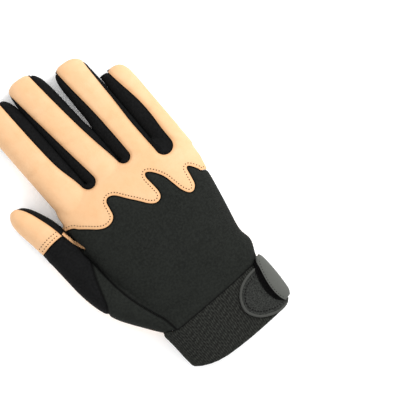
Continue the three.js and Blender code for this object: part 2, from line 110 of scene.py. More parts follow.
# Seams of the finger backs, as shares of the half width from the middle line
SEAM_STEPS = (-0.30, 0.00, 0.25, 0.50, 0.85, 1.15)
FINGER_SEAMS = {
    "index": dict(ulnar=(0.830, 0.830, 0.540, 0.450, 0.425, 0.420)),
    "middle": dict(radial=(-0.500, -0.500, -0.600, -0.700, -0.840, -0.940),
                   ulnar=(0.950, 0.950, 0.770, 0.650, 0.560, 0.540)),
    "ring": dict(radial=(-0.380, -0.380, -0.385, -0.430, -0.585, -0.660),
                 ulnar=(0.805, 0.805, 0.790, 0.855, 0.895, 0.900)),
    "pinky": dict(radial=(0.040, 0.040, 0.130, 0.090, -0.200, -0.400)),
}
SLOTS = (
    dict(name="index_middle", radial="index", ulnar="middle", end=0.967, gap=0.9, closed=(226, 208)),
    dict(name="middle_ring", radial="middle", ulnar="ring", end=0.973, gap=1.6, closed=(188, 172)),
    dict(name="ring_pinky", radial="ring", ulnar="pinky", end=0.895, gap=0.9, closed=(204, 188)),
)

THUMB = dict(start=33.0, base=-28.0, length=130.0, reach=48.0, width=26.0, height=24.0)
THUMB_CAP_START = 0.66
THUMB_TIP_START = 0.74
THUMB_SIDE_SEAM = 0.7
GUSSET_REACH = 1.1
THUMB_CAP_EDGE = THUMB["start"] + THUMB_CAP_START * THUMB["length"]
# Sections, as shares of the thumb's size: along, centre, width and height, then the panel's seam
# in half widths from the middle line
THUMB_ROWS = (
    (0.02, 0.10, 0.62, 0.92, -1.30),
    (0.13, 0.29, 0.84, 1.02, -1.35),
    (0.21, 0.42, 0.96, 1.06, -1.35),
    (0.30, 0.53, 1.00, 1.06, -0.56),
    (0.37, 0.60, 0.98, 1.03, -0.14),
    (0.45, 0.66, 0.94, 1.00, 0.30),
    (0.55, 0.71, 0.90, 0.97, 0.90),
    (0.64, 0.75, 0.88, 0.95, 1.10),
    (0.72, 0.78, 0.87, 0.94, 1.20),
    (0.80, 0.83, 0.85, 0.92, 1.20),
    (0.87, 0.89, 0.80, 0.89, 1.20),
    (0.93, 0.94, 0.69, 0.82, 1.20),
    (0.97, 0.97, 0.52, 0.68, 1.20),
    (1.0, 0.99, 0.26, 0.40, 1.20),
)
FREE_THUMB = [row for row in THUMB_ROWS if row[0] > 0.7]

# Outlines in plan, as shares of HAND_WIDTH and HAND_LENGTH
KNUCKLE_EDGE = (
    (-0.700, 0.890), (-0.488, 0.871), (-0.430, 0.845), (-0.377, 0.819),
    (-0.325, 0.793), (-0.275, 0.780), (-0.225, 0.786), (-0.197, 0.806),
    (-0.189, 0.840), (-0.182, 0.874), (-0.155, 0.889), (-0.110, 0.878),
    (-0.053, 0.833), (0.000, 0.793), (0.042, 0.759), (0.085, 0.741),
    (0.125, 0.748), (0.140, 0.775), (0.133, 0.820), (0.124, 0.863),
    (0.138, 0.883), (0.170, 0.873), (0.205, 0.845), (0.232, 0.812),
    (0.250, 0.770), (0.270, 0.725), (0.300, 0.693), (0.332, 0.689),
    (0.360, 0.710), (0.369, 0.750), (0.376, 0.790), (0.395, 0.796),
    (0.420, 0.778), (0.440, 0.757), (0.470, 0.738), (0.700, 0.690),
)
GUSSET_SEAM = (
    (-0.270, 0.150), (-0.304, 0.259), (-0.336, 0.311), (-0.383, 0.385),
    (-0.419, 0.452), (-0.445, 0.519), (-0.466, 0.600), (-0.479, 0.667),
    (-0.502, 0.747),
)
CUFF_SEAM = (
    (-0.800, 0.222), (-0.385, 0.218), (-0.283, 0.198), (-0.178, 0.202),
    (-0.010, 0.213), (0.199, 0.228), (0.404, 0.245), (0.800, 0.253),
)
# Sliver of the palm leather that shows at the thumb crotch, in millimetres
CROTCH_STRIP = (
    (-57.6, 130.8), (-55.8, 131.5), (-53.4, 122.6),
    (-50.4, 113.6), (-51.2, 112.9), (-54.9, 121.6),
)
PATCHES = {
    "palm_patch_upper": (
        (0.440, 0.935), (0.280, 0.928), (0.038, 0.943), (-0.103, 0.928),
        (-0.290, 0.945), (-0.420, 0.950), (-0.462, 0.930), (-0.455, 0.885),
        (-0.388, 0.823), (-0.323, 0.770), (-0.246, 0.718), (-0.170, 0.685),
        (-0.071, 0.669), (0.017, 0.673), (0.126, 0.703), (0.257, 0.748),
        (0.367, 0.782), (0.440, 0.805),
    ),
    "palm_patch_lower": (
        (0.435, 0.755), (0.367, 0.740), (0.257, 0.706), (0.148, 0.668),
        (0.038, 0.641), (-0.071, 0.634), (-0.180, 0.649), (-0.268, 0.690),
        (-0.345, 0.742), (-0.410, 0.797), (-0.445, 0.795), (-0.440, 0.735),
        (-0.394, 0.665), (-0.345, 0.600), (-0.311, 0.530), (-0.260, 0.484),
        (-0.137, 0.492), (-0.020, 0.492), (0.060, 0.449), (0.148, 0.404),
        (0.236, 0.389), (0.302, 0.400), (0.356, 0.436), (0.400, 0.510),
        (0.428, 0.619),
    ),
}

# Creases: 1 on the back or -1 on the palm side, ends in plan, width and depth of the fold
FOLDS = (
    (1, (-56, 176), (-34, 179), 2.2, 0.55),
    (1, (-58, 203), (-38, 206), 2.0, 0.45),
    (1, (-24, 181), (-2, 179), 2.2, 0.55),
    (1, (-29, 209), (-8, 207), 2.0, 0.45),
    (1, (7, 178), (28, 176), 2.2, 0.50),
    (1, (2, 203), (24, 202), 2.0, 0.40),
    (1, (36, 167), (50, 166), 2.0, 0.45),
    (1, (33, 187), (48, 186), 1.8, 0.40),
    (1, (-78, 141), (-60, 146), 2.0, 0.45),
    (1, (-36, 48), (-8, 42), 4.0, 0.70),
    (1, (10, 50), (44, 60), 4.5, 0.60),
    (-1, (-54, 173), (-30, 174), 1.8, 0.9),
    (-1, (-24, 176), (0, 176), 1.8, 0.9),
    (-1, (5, 174), (29, 174), 1.8, 0.9),
    (-1, (33, 163), (50, 163), 1.6, 0.8),
    (-1, (-28, 58), (10, 44), 2.6, 0.9),
    (-1, (-34, 50), (0, 38), 2.4, 0.7),
    (-1, (-60, 84), (-40, 66), 2.4, 0.8),
)


def spline(rows, count):
    """Rows of numbers on a smooth curve, resampled to count rows."""
    rows = np.asarray(rows, float)
    padded = np.vstack([2 * rows[0] - rows[1], rows, 2 * rows[-1] - rows[-2]])
    place = np.linspace(0, len(rows) - 1 - 1e-9, count)
    start = place.astype(int)
    t = (place - start)[:, None]
    a, b, c, d = (padded[start + k] for k in range(4))
    square, cube = 2 * a - 5 * b + 4 * c - d, 3 * b - a - 3 * c + d
    return 0.5 * (2 * b + (c - a) * t + square * t**2 + cube * t**3)


def smoothstep(low, high, x):
    t = np.clip((x - low) / (high - low), 0.0, 1.0)
    return t * t * (3.0 - 2.0 * t)


def on_hand(points):
    return np.asarray(points, float) * (HAND_WIDTH, HAND_LENGTH)


def section(y, radial, ulnar, bottom, top, facets):
    """Full-sided loop round a tube, with a flat underside where it rests."""
    angle = np.linspace(0, 2 * math.pi, facets, endpoint=False)
    middle, half = (radial + ulnar) / 2, (ulnar - radial) / 2
    waist = bottom + WAIST * (top - bottom)
    sink = 0.16 * (waist - bottom)
    across = np.sign(np.cos(angle)) * np.abs(np.cos(angle)) ** (2 / SIDE_FULLNESS)
    up = np.abs(np.sin(angle)) ** (2 / SIDE_FULLNESS)
    over = waist + (top - waist) * up
    under = np.maximum(bottom, waist - (waist - bottom + sink) * up)
    z = np.where(np.sin(angle) >= 0, over, under)
    return np.column_stack([middle + half * across, np.full(facets, y), z])


def hand_loops(facets, count):
    loops = []
    for along, radial, ulnar, top in spline(HAND_ROWS, count):
        sides = radial * HAND_WIDTH, ulnar * HAND_WIDTH
        loops.append(section(along * HAND_LENGTH, *sides, SKIN_FLOOR, SKIN_FLOOR + top * HAND_HEIGHT, facets))
    return loops


def finger_middle(finger, along):
    return finger["root"] + finger["lean"] * along


def middle_at(finger, y):
    return finger_middle(finger, (y - HAND_LENGTH) / finger["length"])


def cap_edge(finger):
    return HAND_LENGTH + CAP_START * finger["length"]


def finger_loops(finger, facets, count):
    loops = []
    for along, width, height in spline(FINGER_ROWS, count):
        middle = finger_middle(finger, along)
        half = finger["width"] * width / 2
        rise = finger["height"] * (1 - height) * 0.45 * smoothstep(0.72, 0.86, along)
        bottom = SKIN_FLOOR + rise
        top = bottom + finger["height"] * height
        y = HAND_LENGTH + along * finger["length"]
        loops.append(section(y, middle - half, middle + half, bottom, top, facets))
    return loops


def thumb_place(row):
    """Y, middle and half width of one of the thumb's sections."""
    along, centre, width = row[:3]
    middle = THUMB["base"] - centre * THUMB["reach"]
    return THUMB["start"] + along * THUMB["length"], middle, THUMB["width"] * width / 2


def thumb_line(rows, share=None, clear=0.0):
    """Line along the thumb, at a share of its half width or else on the panel's seam."""
    line = []
    for row in rows:
        y, middle, half = thumb_place(row)
        line.append((middle + (row[4] if share is None else share) * half + clear, y))
    return line


def thumb_loops(facets, count):
    table = [[*thumb_place(row), row[3]] for row in THUMB_ROWS]
    tip = THUMB["start"] + 0.9 * THUMB["length"]
    loops = []
    for y, middle, half, height in spline(table, count):
        rise = THUMB["height"] * (1 - height) * 0.45 * smoothstep(tip - 12, tip + 3, y)
        bottom = SKIN_FLOOR + rise
        top = bottom + THUMB["height"] * height
        loops.append(section(y, middle - half, middle + half, bottom, top, facets))
    return loops


def add_tube(mesh, loops):
    """Closed tube through the loops, added to a bmesh."""
    rings = [[mesh.verts.new(p) for p in loop] for loop in loops]
    count = len(rings[0])
    for low, high in zip(rings, rings[1:]):
        for k in range(count):
            n = (k + 1) % count
            mesh.faces.new((low[k], high[k], high[n], low[n]))
    mesh.faces.new(rings[0])
    mesh.faces.new(list(reversed(rings[-1])))


# Plan outlines

def finger_seam(finger, shares):
    along = np.array(SEAM_STEPS)
    x = finger_middle(finger, along) + np.array(shares) * finger["width"] / 2
    return spline(np.column_stack([x, HAND_LENGTH + along * finger["length"]]), 60)


def slot_outline(slot):
    left = finger_seam(FINGERS[slot["radial"]], FINGER_SEAMS[slot["radial"]]["ulnar"])
    right = finger_seam(FINGERS[slot["ulnar"]], FINGER_SEAMS[slot["ulnar"]]["radial"])
    end = slot["end"] * HAND_LENGTH

    def x_at(line, y):
        return np.interp(y, line[:, 1], line[:, 0])

    radius = (x_at(right, end) - x_at(left, end)) / 2
    shoulder = end + radius
    low, high = x_at(left, shoulder), x_at(right, shoulder)
    turn = np.linspace(math.pi, 2 * math.pi, 17)
    across = (low + high) / 2 + (high - low) / 2 * np.cos(turn)
    arc = np.column_stack([across, shoulder + radius * np.sin(turn)])
    return np.vstack([left[left[:, 1] > shoulder + 1][::-1], arc, right[right[:, 1] > shoulder + 1]])


def knuckle_outline():
    return np.vstack([spline(on_hand(KNUCKLE_EDGE), 220), [[HAND_WIDTH, 320], [-HAND_WIDTH, 320]]])


def cuff_outline():
    return np.vstack([spline(on_hand(CUFF_SEAM), 60), [[HAND_WIDTH, -50], [-HAND_WIDTH, -50]]])


def thumb_outline():
    seam = spline(on_hand(GUSSET_SEAM), 50)
    clear = thumb_line(FREE_THUMB, 1.0, 0.8)
    return np.vstack([seam, clear, [[-FAR, FAR], [-FAR, seam[0, 1]]]])


def gusset_outline():
    seam = spline(on_hand(GUSSET_SEAM), 50) + (5, 0)
    panel = thumb_line([row for row in THUMB_ROWS if row[4] <= GUSSET_REACH])
    return np.vstack([seam[::-1], spline(panel, 50)])


def thumb_tip_outline():
    y = THUMB["start"] + THUMB_TIP_START * THUMB["length"]
    side = THUMB["base"] - THUMB["reach"]
    edge = spline([(side - 12, y - 6), (side, y - 2.6), (side + 10, y), (THUMB["base"] - 25, y + 1)], 20)
    return np.vstack([edge, [[-30, FAR], [-FAR, FAR], [-FAR, y - 6]]])


def thumb_side_outline():
    line = spline(thumb_line(FREE_THUMB, THUMB_SIDE_SEAM), 40)
    start, end = line[0], line[-1]
    return np.vstack([[[-28, start[1]], [-28, end[1] + 25], [end[0], end[1] + 25]], line[::-1]])


def signed_distance(points, outline):
    """Distance in plan to a closed outline, positive inside it."""
    best = np.full(len(points), np.inf)
    inside = np.zeros(len(points), bool)
    x, y = points[:, 0], points[:, 1]
    for p, q in zip(outline, np.roll(outline, -1, axis=0)):
        d = q - p
        t = np.clip(((x - p[0]) * d[0] + (y - p[1]) * d[1]) / max(d @ d, 1e-12), 0, 1)
        best = np.minimum(best, (x - p[0] - t * d[0]) ** 2 + (y - p[1] - t * d[1]) ** 2)
        crosses = (p[1] > y) != (q[1] > y)
        if d[1]:
            inside ^= crosses & (x < p[0] + (y - p[1]) * d[0] / d[1])
    return np.where(inside, 1.0, -1.0) * np.sqrt(best)


# The glove's form, before it is cut into panels

FAN_OPENING = 10.0
FAN_SOFTNESS = 3.0
FAN_RAMP = (118, 146)
FAN_REACH = 45.0
HALVINGS = 40
LEAN_RAMP = (1, 10)
LEAN_REACH = 3.0
OWN_SIDE_START = 8
CORNER_WIDTH = 0.48
CORNER_MOST = 2.1
CORNER_BLEND = 3.5
CORNER_START = 0.7
CORNER_GAP = 0.3
SMOOTHING = 16
CREASE_BOW = 0.06


def slot_middles(y):
    """X of the middle of each gap between fingers at Y."""
    lines = []
    for slot in SLOTS:
        radial, ulnar = FINGERS[slot["radial"]], FINGERS[slot["ulnar"]]
        right = middle_at(radial, y) + radial["width"] / 2
        left = middle_at(ulnar, y) - ulnar["width"] / 2
        lines.append((right + left) / 2)
    return lines


def spread(points):
    """Fan the fingers apart, so that remeshing leaves them separate."""
    out = points.copy()
    ramp = smoothstep(*FAN_RAMP, points[:, 1])
    for middle in slot_middles(points[:, 1]):
        out[:, 0] += FAN_OPENING * np.tanh((points[:, 0] - middle) / FAN_SOFTNESS) * ramp
    return out


def close_up(points):
    """Undo spread, by halving the range that each point's X lies in."""
    low, high = points[:, 0] - FAN_REACH, points[:, 0] + FAN_REACH
    out = points.copy()
    for _ in range(HALVINGS):
        half = out[:, 0] = (low + high) / 2
        over = spread(out)[:, 0] > points[:, 0]
        low, high = np.where(over, low, half), np.where(over, half, high)
    out[:, 0] = (low + high) / 2
    return out


def half_width(finger, y):
    along = (y - HAND_LENGTH) / finger["length"]
    rows = np.array(FINGER_ROWS)
    return np.interp(along, rows[:, 0], rows[:, 1], right=0.0) * finger["width"] / 2


def part_fingers(points):
    """Lean neighbouring fingers together where they touch, and keep them apart elsewhere."""
    y = points[:, 1]
    for slot, middle in zip(SLOTS, slot_middles(y)):
        radial, ulnar = FINGERS[slot["radial"]], FINGERS[slot["ulnar"]]
        right = middle_at(radial, y) + half_width(radial, y)
        left = middle_at(ulnar, y) - half_width(ulnar, y)
        gap = (left - right) / 2
        aside = points[:, 0] - middle
        side = np.sign(aside)
        end = slot["end"] * HAND_LENGTH
        ramp = smoothstep(end + LEAN_RAMP[0], end + LEAN_RAMP[1], y)
        touch = smoothstep(*slot["closed"], y)
        need = (-FINGER_PRESS - gap) * touch + np.maximum(slot["gap"] / 2 - gap, 0) * (1 - touch)
        beside = np.maximum(np.abs(aside) - np.maximum(gap, 0), 0)
        near = np.exp(-(beside / LEAN_REACH) ** 2) * ramp
        moved = np.maximum(np.abs(aside) + need * near, np.minimum(np.abs(aside), 0.02))
        points[:, 0] = np.where(near > 0.01, middle + side * moved, points[:, 0])


def square_corner(points):
    """Fill out the little fingertip on the side of the ring finger."""
    pinky = FINGERS["pinky"]
    y = points[:, 1]
    middle = middle_at(pinky, y)
    half = np.maximum(half_width(pinky, y), 0.3 * pinky["width"] / 2)
    aside = middle - points[:, 0]
    wider = np.clip(CORNER_WIDTH * pinky["width"] / half, 1.0, CORNER_MOST)
    wider = 1 + (wider - 1) * smoothstep(0.0, CORNER_BLEND, aside)
    gap = slot_middles(y)[2]
    mine = (aside > 0) & (points[:, 0] > gap) & (y > HAND_LENGTH + CORNER_START * pinky["length"])
    points[:, 0] = np.where(mine, np.maximum(middle - aside * wider, gap + CORNER_GAP), points[:, 0])


def own_side(points, before, clear):
    """Keep each point on its own side of the gaps between fingers."""
    y = before[:, 1]
    for slot, middle in zip(SLOTS, slot_middles(y)):
        side = np.sign(before[:, 0] - middle)
        beyond = y > slot["end"] * HAND_LENGTH + OWN_SIDE_START
        aside = side * (points[:, 0] - middle)
        points[:, 0] = np.where(beyond & (aside < clear), middle + side * clear, points[:, 0])


def activate(obj):
    bpy.ops.object.select_all(action="DESELECT")
    obj.select_set(True)
    bpy.context.view_layer.objects.active = obj


def apply_modifier(obj, kind, **settings):
    activate(obj)
    modifier = obj.modifiers.new(kind.title(), kind)
    for key, value in settings.items():
        setattr(modifier, key, value)
    bpy.ops.object.modifier_apply(modifier=modifier.name)


def link_mesh(name, points, faces):
    """Object from points in the frame's metres."""
    mesh = bpy.data.meshes.new(name)
    mesh.from_pydata(points, [], faces)
    mesh.update()
    obj = bpy.data.objects.new(name, mesh)
    bpy.context.scene.collection.objects.link(obj)
    return obj


def new_object(name, points, faces):
    """Object from glove millimetres, placed in the frame."""
    place = (np.asarray(points, float) - GLOVE_CENTRE) * MM
    return link_mesh(name, place.tolist(), [list(f) for f in faces])


def mesh_points(obj):
    flat = np.empty(len(obj.data.vertices) * 3)
    obj.data.vertices.foreach_get("co", flat)
    return flat.reshape(-1, 3) / MM + GLOVE_CENTRE


def write_attribute(obj, name, values):
    """A number at each point, for the materials to read."""
    attribute = obj.data.attributes.new(name, "FLOAT", "POINT")
    attribute.data.foreach_set("value", np.asarray(values, np.float32))


def thicken(obj, thickness, smooth, **settings):
    """Give a sheet its thickness inwards, and smooth its faces up to an angle in degrees."""
    apply_modifier(obj, "SOLIDIFY", thickness=thickness, offset=-1.0, **settings)
    bpy.ops.object.shade_smooth_by_angle(angle=math.radians(smooth))


def face_outwards(obj):
    activate(obj)
    bpy.ops.object.mode_set(mode="EDIT")
    bpy.ops.mesh.select_all(action="SELECT")
    bpy.ops.mesh.normals_make_consistent(inside=False)
    bpy.ops.object.mode_set(mode="OBJECT")


def vert_points(mesh):
    return np.array([v.co[:] for v in mesh.verts])


def move_verts(mesh, points):
    for vert, point in zip(mesh.verts, points):
        vert.co = point


def face_centres(mesh):
    return np.array([f.calc_center_median()[:] for f in mesh.faces])


def take_apart(mesh):
    """Points and faces of a bmesh, which is freed."""
    mesh.verts.index_update()
    points = vert_points(mesh)
    faces = [[v.index for v in f.verts] for f in mesh.faces]
    mesh.free()
    return points, faces


def glove_form(voxel):
    """One smooth skin over hand, fingers and thumb, as a bmesh in millimetres."""
    tubes = bmesh.new()
    add_tube(tubes, hand_loops(72, 60))
    for finger in FINGERS.values():
        add_tube(tubes, finger_loops(finger, 48, 44))
    add_tube(tubes, thumb_loops(48, 50))
    points, faces = take_apart(tubes)
    form = new_object("form", spread(points), faces)
    apply_modifier(form, "REMESH", mode="VOXEL", voxel_size=voxel * MM)
    apply_modifier(form, "SMOOTH", factor=0.5, iterations=SMOOTHING)
    points = close_up(mesh_points(form))
    square_corner(points)
    part_fingers(points)
    mesh = bmesh.new()
    mesh.from_mesh(form.data)
    move_verts(mesh, points)
    bpy.data.objects.remove(form)
    mesh.normal_update()
    crease(mesh)
    mesh.normal_update()
    return mesh


def crease(mesh):
    """Press the folds into the form."""
    points = vert_points(mesh)
    normals = np.array([v.normal[:] for v in mesh.verts])
    pressed = np.zeros(len(points))
    for side, start, end, width, depth in FOLDS:
        a, b = np.array(start, float), np.array(end, float)
        d = b - a
        length = np.linalg.norm(d)
        t = ((points[:, :2] - a) @ d) / length**2
        bow = CREASE_BOW * length * (1 - (2 * t - 1) ** 2)
        aside = ((points[:, 0] - a[0]) * -d[1] + (points[:, 1] - a[1]) * d[0]) / length + bow
        fade = smoothstep(-0.15, 0.25, t) * smoothstep(1.15, 0.75, t)
        facing = np.clip(normals[:, 2] * side * 2.0, 0, 1)
        u = aside / width
        shape = -np.exp(-u**2) + 0.45 * (np.exp(-(np.abs(u) - 1.9) ** 2))
        pressed += depth * shape * fade * facing
    points += normals * pressed[:, None]
    points[:, 2] = np.maximum(points[:, 2], SKIN_FLOOR)
    move_verts(mesh, points)


def cut_along(mesh, field, within=None):
    """Split the faces that a field's zero line crosses, exactly on that line."""
    mesh.verts.index_update()
    mesh.verts.ensure_lookup_table()
    points = vert_points(mesh)
    value = field(points)
    allowed = np.ones(len(points), bool) if within is None else within(points)
    edges = list(mesh.edges)
    ends = np.array([(e.verts[0].index, e.verts[1].index) for e in edges])
    a, b = value[ends[:, 0]], value[ends[:, 1]]
    crossing = (a * b < 0) & allowed[ends[:, 0]] & allowed[ends[:, 1]]
    t = a / np.where(a == b, 1, a - b)
    on_line = set()
    for k in np.nonzero(crossing)[0]:
        for end, near in ((0, t[k] < 0.15), (1, t[k] > 0.85)):
            vert = edges[k].verts[end]
            if near and vert.index not in on_line:
                p, q = (v.co.copy() for v in edges[k].verts)
                vert.co = p.lerp(q, t[k])
                value[vert.index] = 0.0
                on_line.add(vert.index)
    made = [mesh.verts[k] for k in on_line]
    for k in np.nonzero(crossing)[0]:
        first, second = ends[k]
        if first in on_line or second in on_line:
            continue
        _, vert = bmesh.utils.edge_split(edges[k], edges[k].verts[0], float(t[k]))
        made.append(vert)
    bmesh.ops.connect_verts(mesh, verts=made, check_degenerate=True)


# Part of the back that each seam is cut in: least X, most X, least Y, most Y
SEAM_BOXES = {
    "knuckle": (-56, FAR, -FAR, FAR),
    "gusset": (-FAR, -20, -FAR, 128),
    "side": (-FAR, -52, 120, FAR),
    "tip": (-FAR, -52, 115, FAR),
    "strip": (-FAR, -48, 108, 134),
}
GAP_SIDE = -62.0
THUMB_CAP_SIDE = -54.0


def in_box(points, left, right, low, high):
    x, y = points[:, 0], points[:, 1]
    return (x > left) & (x < right) & (y > low) & (y < high)


def closed_spline(outline):
    return spline(np.vstack([on_hand(outline), on_hand(outline[:1])]), 160)[:-1]


class Fields:
    """Which side of each seam a point of the glove is on."""

    def __init__(self):
        self.seams = {
            "knuckle": knuckle_outline(),
            "cuff": cuff_outline(),
            "thumb": thumb_outline(),
            "gusset": gusset_outline(),
            "tip": thumb_tip_outline(),
            "side": thumb_side_outline(),
            "strip": np.array(CROTCH_STRIP),
        }
        self.slots = {f"fourchette_{s['name']}": slot_outline(s) for s in SLOTS}
        self.patches = {name: closed_spline(outline) for name, outline in PATCHES.items()}

    def inside(self, seam, points):
        return signed_distance(points, self.seams[seam]) > 0

    def between(self, points):
        """Distance in plan into the gaps between fingers."""
        return np.max([signed_distance(points, outline) for outline in self.slots.values()], axis=0)

    def cut(self, mesh):
        def over(p):
            return p[:, 2] > SEAM_HEIGHT - 0.2

        def under(p):
            return p[:, 2] < SEAM_HEIGHT + 0.2

        def cut_outline(outline, within=None):
            cut_along(mesh, lambda p: signed_distance(p, outline), within)

        cut_outline(self.seams["cuff"])
        cut_along(mesh, lambda p: p[:, 2] - SEAM_HEIGHT)
        cut_outline(self.seams["thumb"], over)
        for outline in self.slots.values():
            cut_outline(outline, lambda p: (p[:, 2] > WALL_FOOT - 0.3) & (p[:, 0] > GAP_SIDE))
        cut_along(mesh, lambda p: p[:, 2] - WALL_FOOT, lambda p: self.between(p) > -1.5)
        for seam, box in SEAM_BOXES.items():
            cut_outline(self.seams[seam], lambda p: over(p) & in_box(p, *box))
        for outline in self.patches.values():
            cut_outline(outline, under)
        for finger in FINGERS.values():
            y, x = cap_edge(finger), finger_middle(finger, CAP_START)
            cut_along(mesh, lambda p: p[:, 1] - y, lambda p: under(p) & (np.abs(p[:, 0] - x) < CAP_REACH))
        cut_along(mesh, lambda p: p[:, 1] - THUMB_CAP_EDGE, lambda p: under(p) & (p[:, 0] < THUMB_CAP_SIDE))

    def name_panels(self, centres):
        """Name of the panel that each face belongs to."""
        names = np.full(len(centres), "back_panel", dtype=object)
        names[self.inside("knuckle", centres)] = "back_leather"
        thumb = self.inside("thumb", centres)
        names[thumb] = "thumb_panel"
        for seam, name in (("tip", "thumb_tip_leather"), ("side", "thumb_side"), ("gusset", "thumb_gusset")):
            names[thumb & self.inside(seam, centres)] = name
        names[(centres[:, 2] <= SEAM_HEIGHT) | self.inside("strip", centres)] = "palm_leather"
        for name, outline in self.slots.items():
            names[(centres[:, 2] > WALL_FOOT) & (signed_distance(centres, outline) > 0)] = name
        names[self.inside("cuff", centres)] = "cuff"
        return names

    def name_overlays(self, centres):
        """Name of the reinforcement that covers each face, or nothing."""
        names = np.full(len(centres), "", dtype=object)
        below = centres[:, 2] < SEAM_HEIGHT
        low = below & ((centres[:, 2] < WALL_FOOT) | (self.between(centres) < 0))
        for name, outline in self.patches.items():
            names[below & (signed_distance(centres, outline) > 0)] = name
        for key, finger in FINGERS.items():
            near = np.abs(centres[:, 0] - middle_at(finger, centres[:, 1])) < finger["width"] * 0.52
            names[low & near & in_box(centres, -64, FAR, cap_edge(finger), FAR)] = f"cap_{key}"
        thumb = in_box(centres, -FAR, THUMB_CAP_SIDE, THUMB_CAP_EDGE, 170) & self.inside("thumb", centres)
        names[below & thumb] = "cap_thumb"
        return names


# Panels

def panel(lift, edge, puff, flat, area, over=()):
    """Height in millimetres of a panel's middle, sewn edge and swell, its flat size and area in metres, which
    are not used, and the panels that it lies over."""
    return dict(lift=lift, edge=edge, puff=puff, flat=flat, area=area, over=over)


LEATHERS = {
    "back_leather": panel(0.42, -0.35, 0.6, (0.125, 0.150), 0.0121, over=("back_panel",)),
    "palm_leather": panel(0.1, -0.30, 0.3, (0.140, 0.240), 0.0220),
    "thumb_tip_leather": panel(0.5, -0.30, 0.4, (0.034, 0.040), 0.00117, over=("thumb_panel",)),
}
FABRICS = {
    "back_panel": panel(0.1, -0.50, 0.55, (0.115, 0.110), 0.0104),
    "fourchette_index_middle": panel(0.1, -0.9, 0.2, (0.036, 0.180), 0.0037),
    "fourchette_middle_ring": panel(0.1, -0.9, 0.2, (0.036, 0.175), 0.00356),
    "fourchette_ring_pinky": panel(0.1, -0.9, 0.2, (0.036, 0.150), 0.00287),
    "thumb_panel": panel(0.1, -0.70, 0.4, (0.036, 0.080), 0.0020),
    "thumb_side": panel(0.1, -0.40, 0.2, (0.016, 0.045), 0.00057),
    "thumb_gusset": panel(0.1, -0.70, 0.3, (0.026, 0.085), 0.00159),
}
REINFORCEMENTS = {
    "palm_patch_upper": panel(1.15, 0.2, 0.5, (0.100, 0.042), 0.00314, over=("",)),
    "palm_patch_lower": panel(1.15, 0.2, 0.5, (0.096, 0.062), 0.00316, over=("",)),
    "cap_index": panel(1.1, 0.15, 0.2, (0.034, 0.048), 0.00112, over=("",)),
    "cap_middle": panel(1.1, 0.15, 0.2, (0.036, 0.050), 0.00104, over=("",)),
    "cap_ring": panel(1.1, 0.15, 0.2, (0.033, 0.046), 0.00095, over=("",)),
    "cap_pinky": panel(1.1, 0.15, 0.2, (0.026, 0.034), 0.00063, over=("",)),
    "cap_thumb": panel(1.1, 0.15, 0.2, (0.034, 0.050), 0.00128, over=("",)),
}
EDGE_ROLL = 1.3
SEAM_SPREAD = 2.2
STITCH_ROWS = (1.4, 3.4)
STITCH_GROOVE = 0.38
GROOVE_WIDTH = 0.55
PANEL_FLOOR = 1.05
OVERLAY_FLOOR = 0.05
OVERLAY_CLEAR = 0.25
REINFORCEMENT_THICKNESS = 0.9

_form = {}


def seam_points(names, ends, sides):
    """Points along each panel's edges, grouped by the panel on the other side."""
    differ = names[sides[:, 0]] != names[sides[:, 1]]
    found = {}
    for (a, b), (f, g) in zip(ends[differ], sides[differ]):
        for own, other in ((f, g), (g, f)):
            found.setdefault(names[own], {}).setdefault(names[other], []).append((a, b))
    return found


def cut_form():
    """The cut form's points, normals, faces and panels, made once."""
    if _form:
        return _form
    settings = bpy.context.scene.glove_settings
    fields = Fields()
    mesh = glove_form(settings.fineness / MM)
    fields.cut(mesh)
    mesh.normal_update()
    mesh.verts.index_update()
    mesh.faces.index_update()
    centres = face_centres(mesh)
    ends, sides = [], []
    for edge in mesh.edges:
        if len(edge.link_faces) == 2:
            ends.append([v.index for v in edge.verts])
            sides.append([f.index for f in edge.link_faces])
    ends, sides = np.array(ends), np.array(sides)
    for layer, names in (("panel", fields.name_panels(centres)), ("overlay", fields.name_overlays(centres))):
        _form[layer] = names, seam_points(names, ends, sides)
    _form["fields"] = fields
    _form["normals"] = np.array([v.normal[:] for v in mesh.verts])
    _form["points"], _form["faces"] = take_apart(mesh)
    return _form


def distance_to(points, pairs):
    """Distance from each point to the nearest of the edges in pairs."""
    if not pairs:
        return np.full(len(points), 99.0)
    first, second = (_form["points"][k] for k in np.array(pairs).T)
    marks = np.vstack([first * (1 - t) + second * t for t in (0, 0.25, 0.5, 0.75)])
    tree = KDTree(len(marks))
    for k, mark in enumerate(marks):
        tree.insert(mark, k)
    tree.balance()
    return np.array([tree.find(p)[2] for p in points])


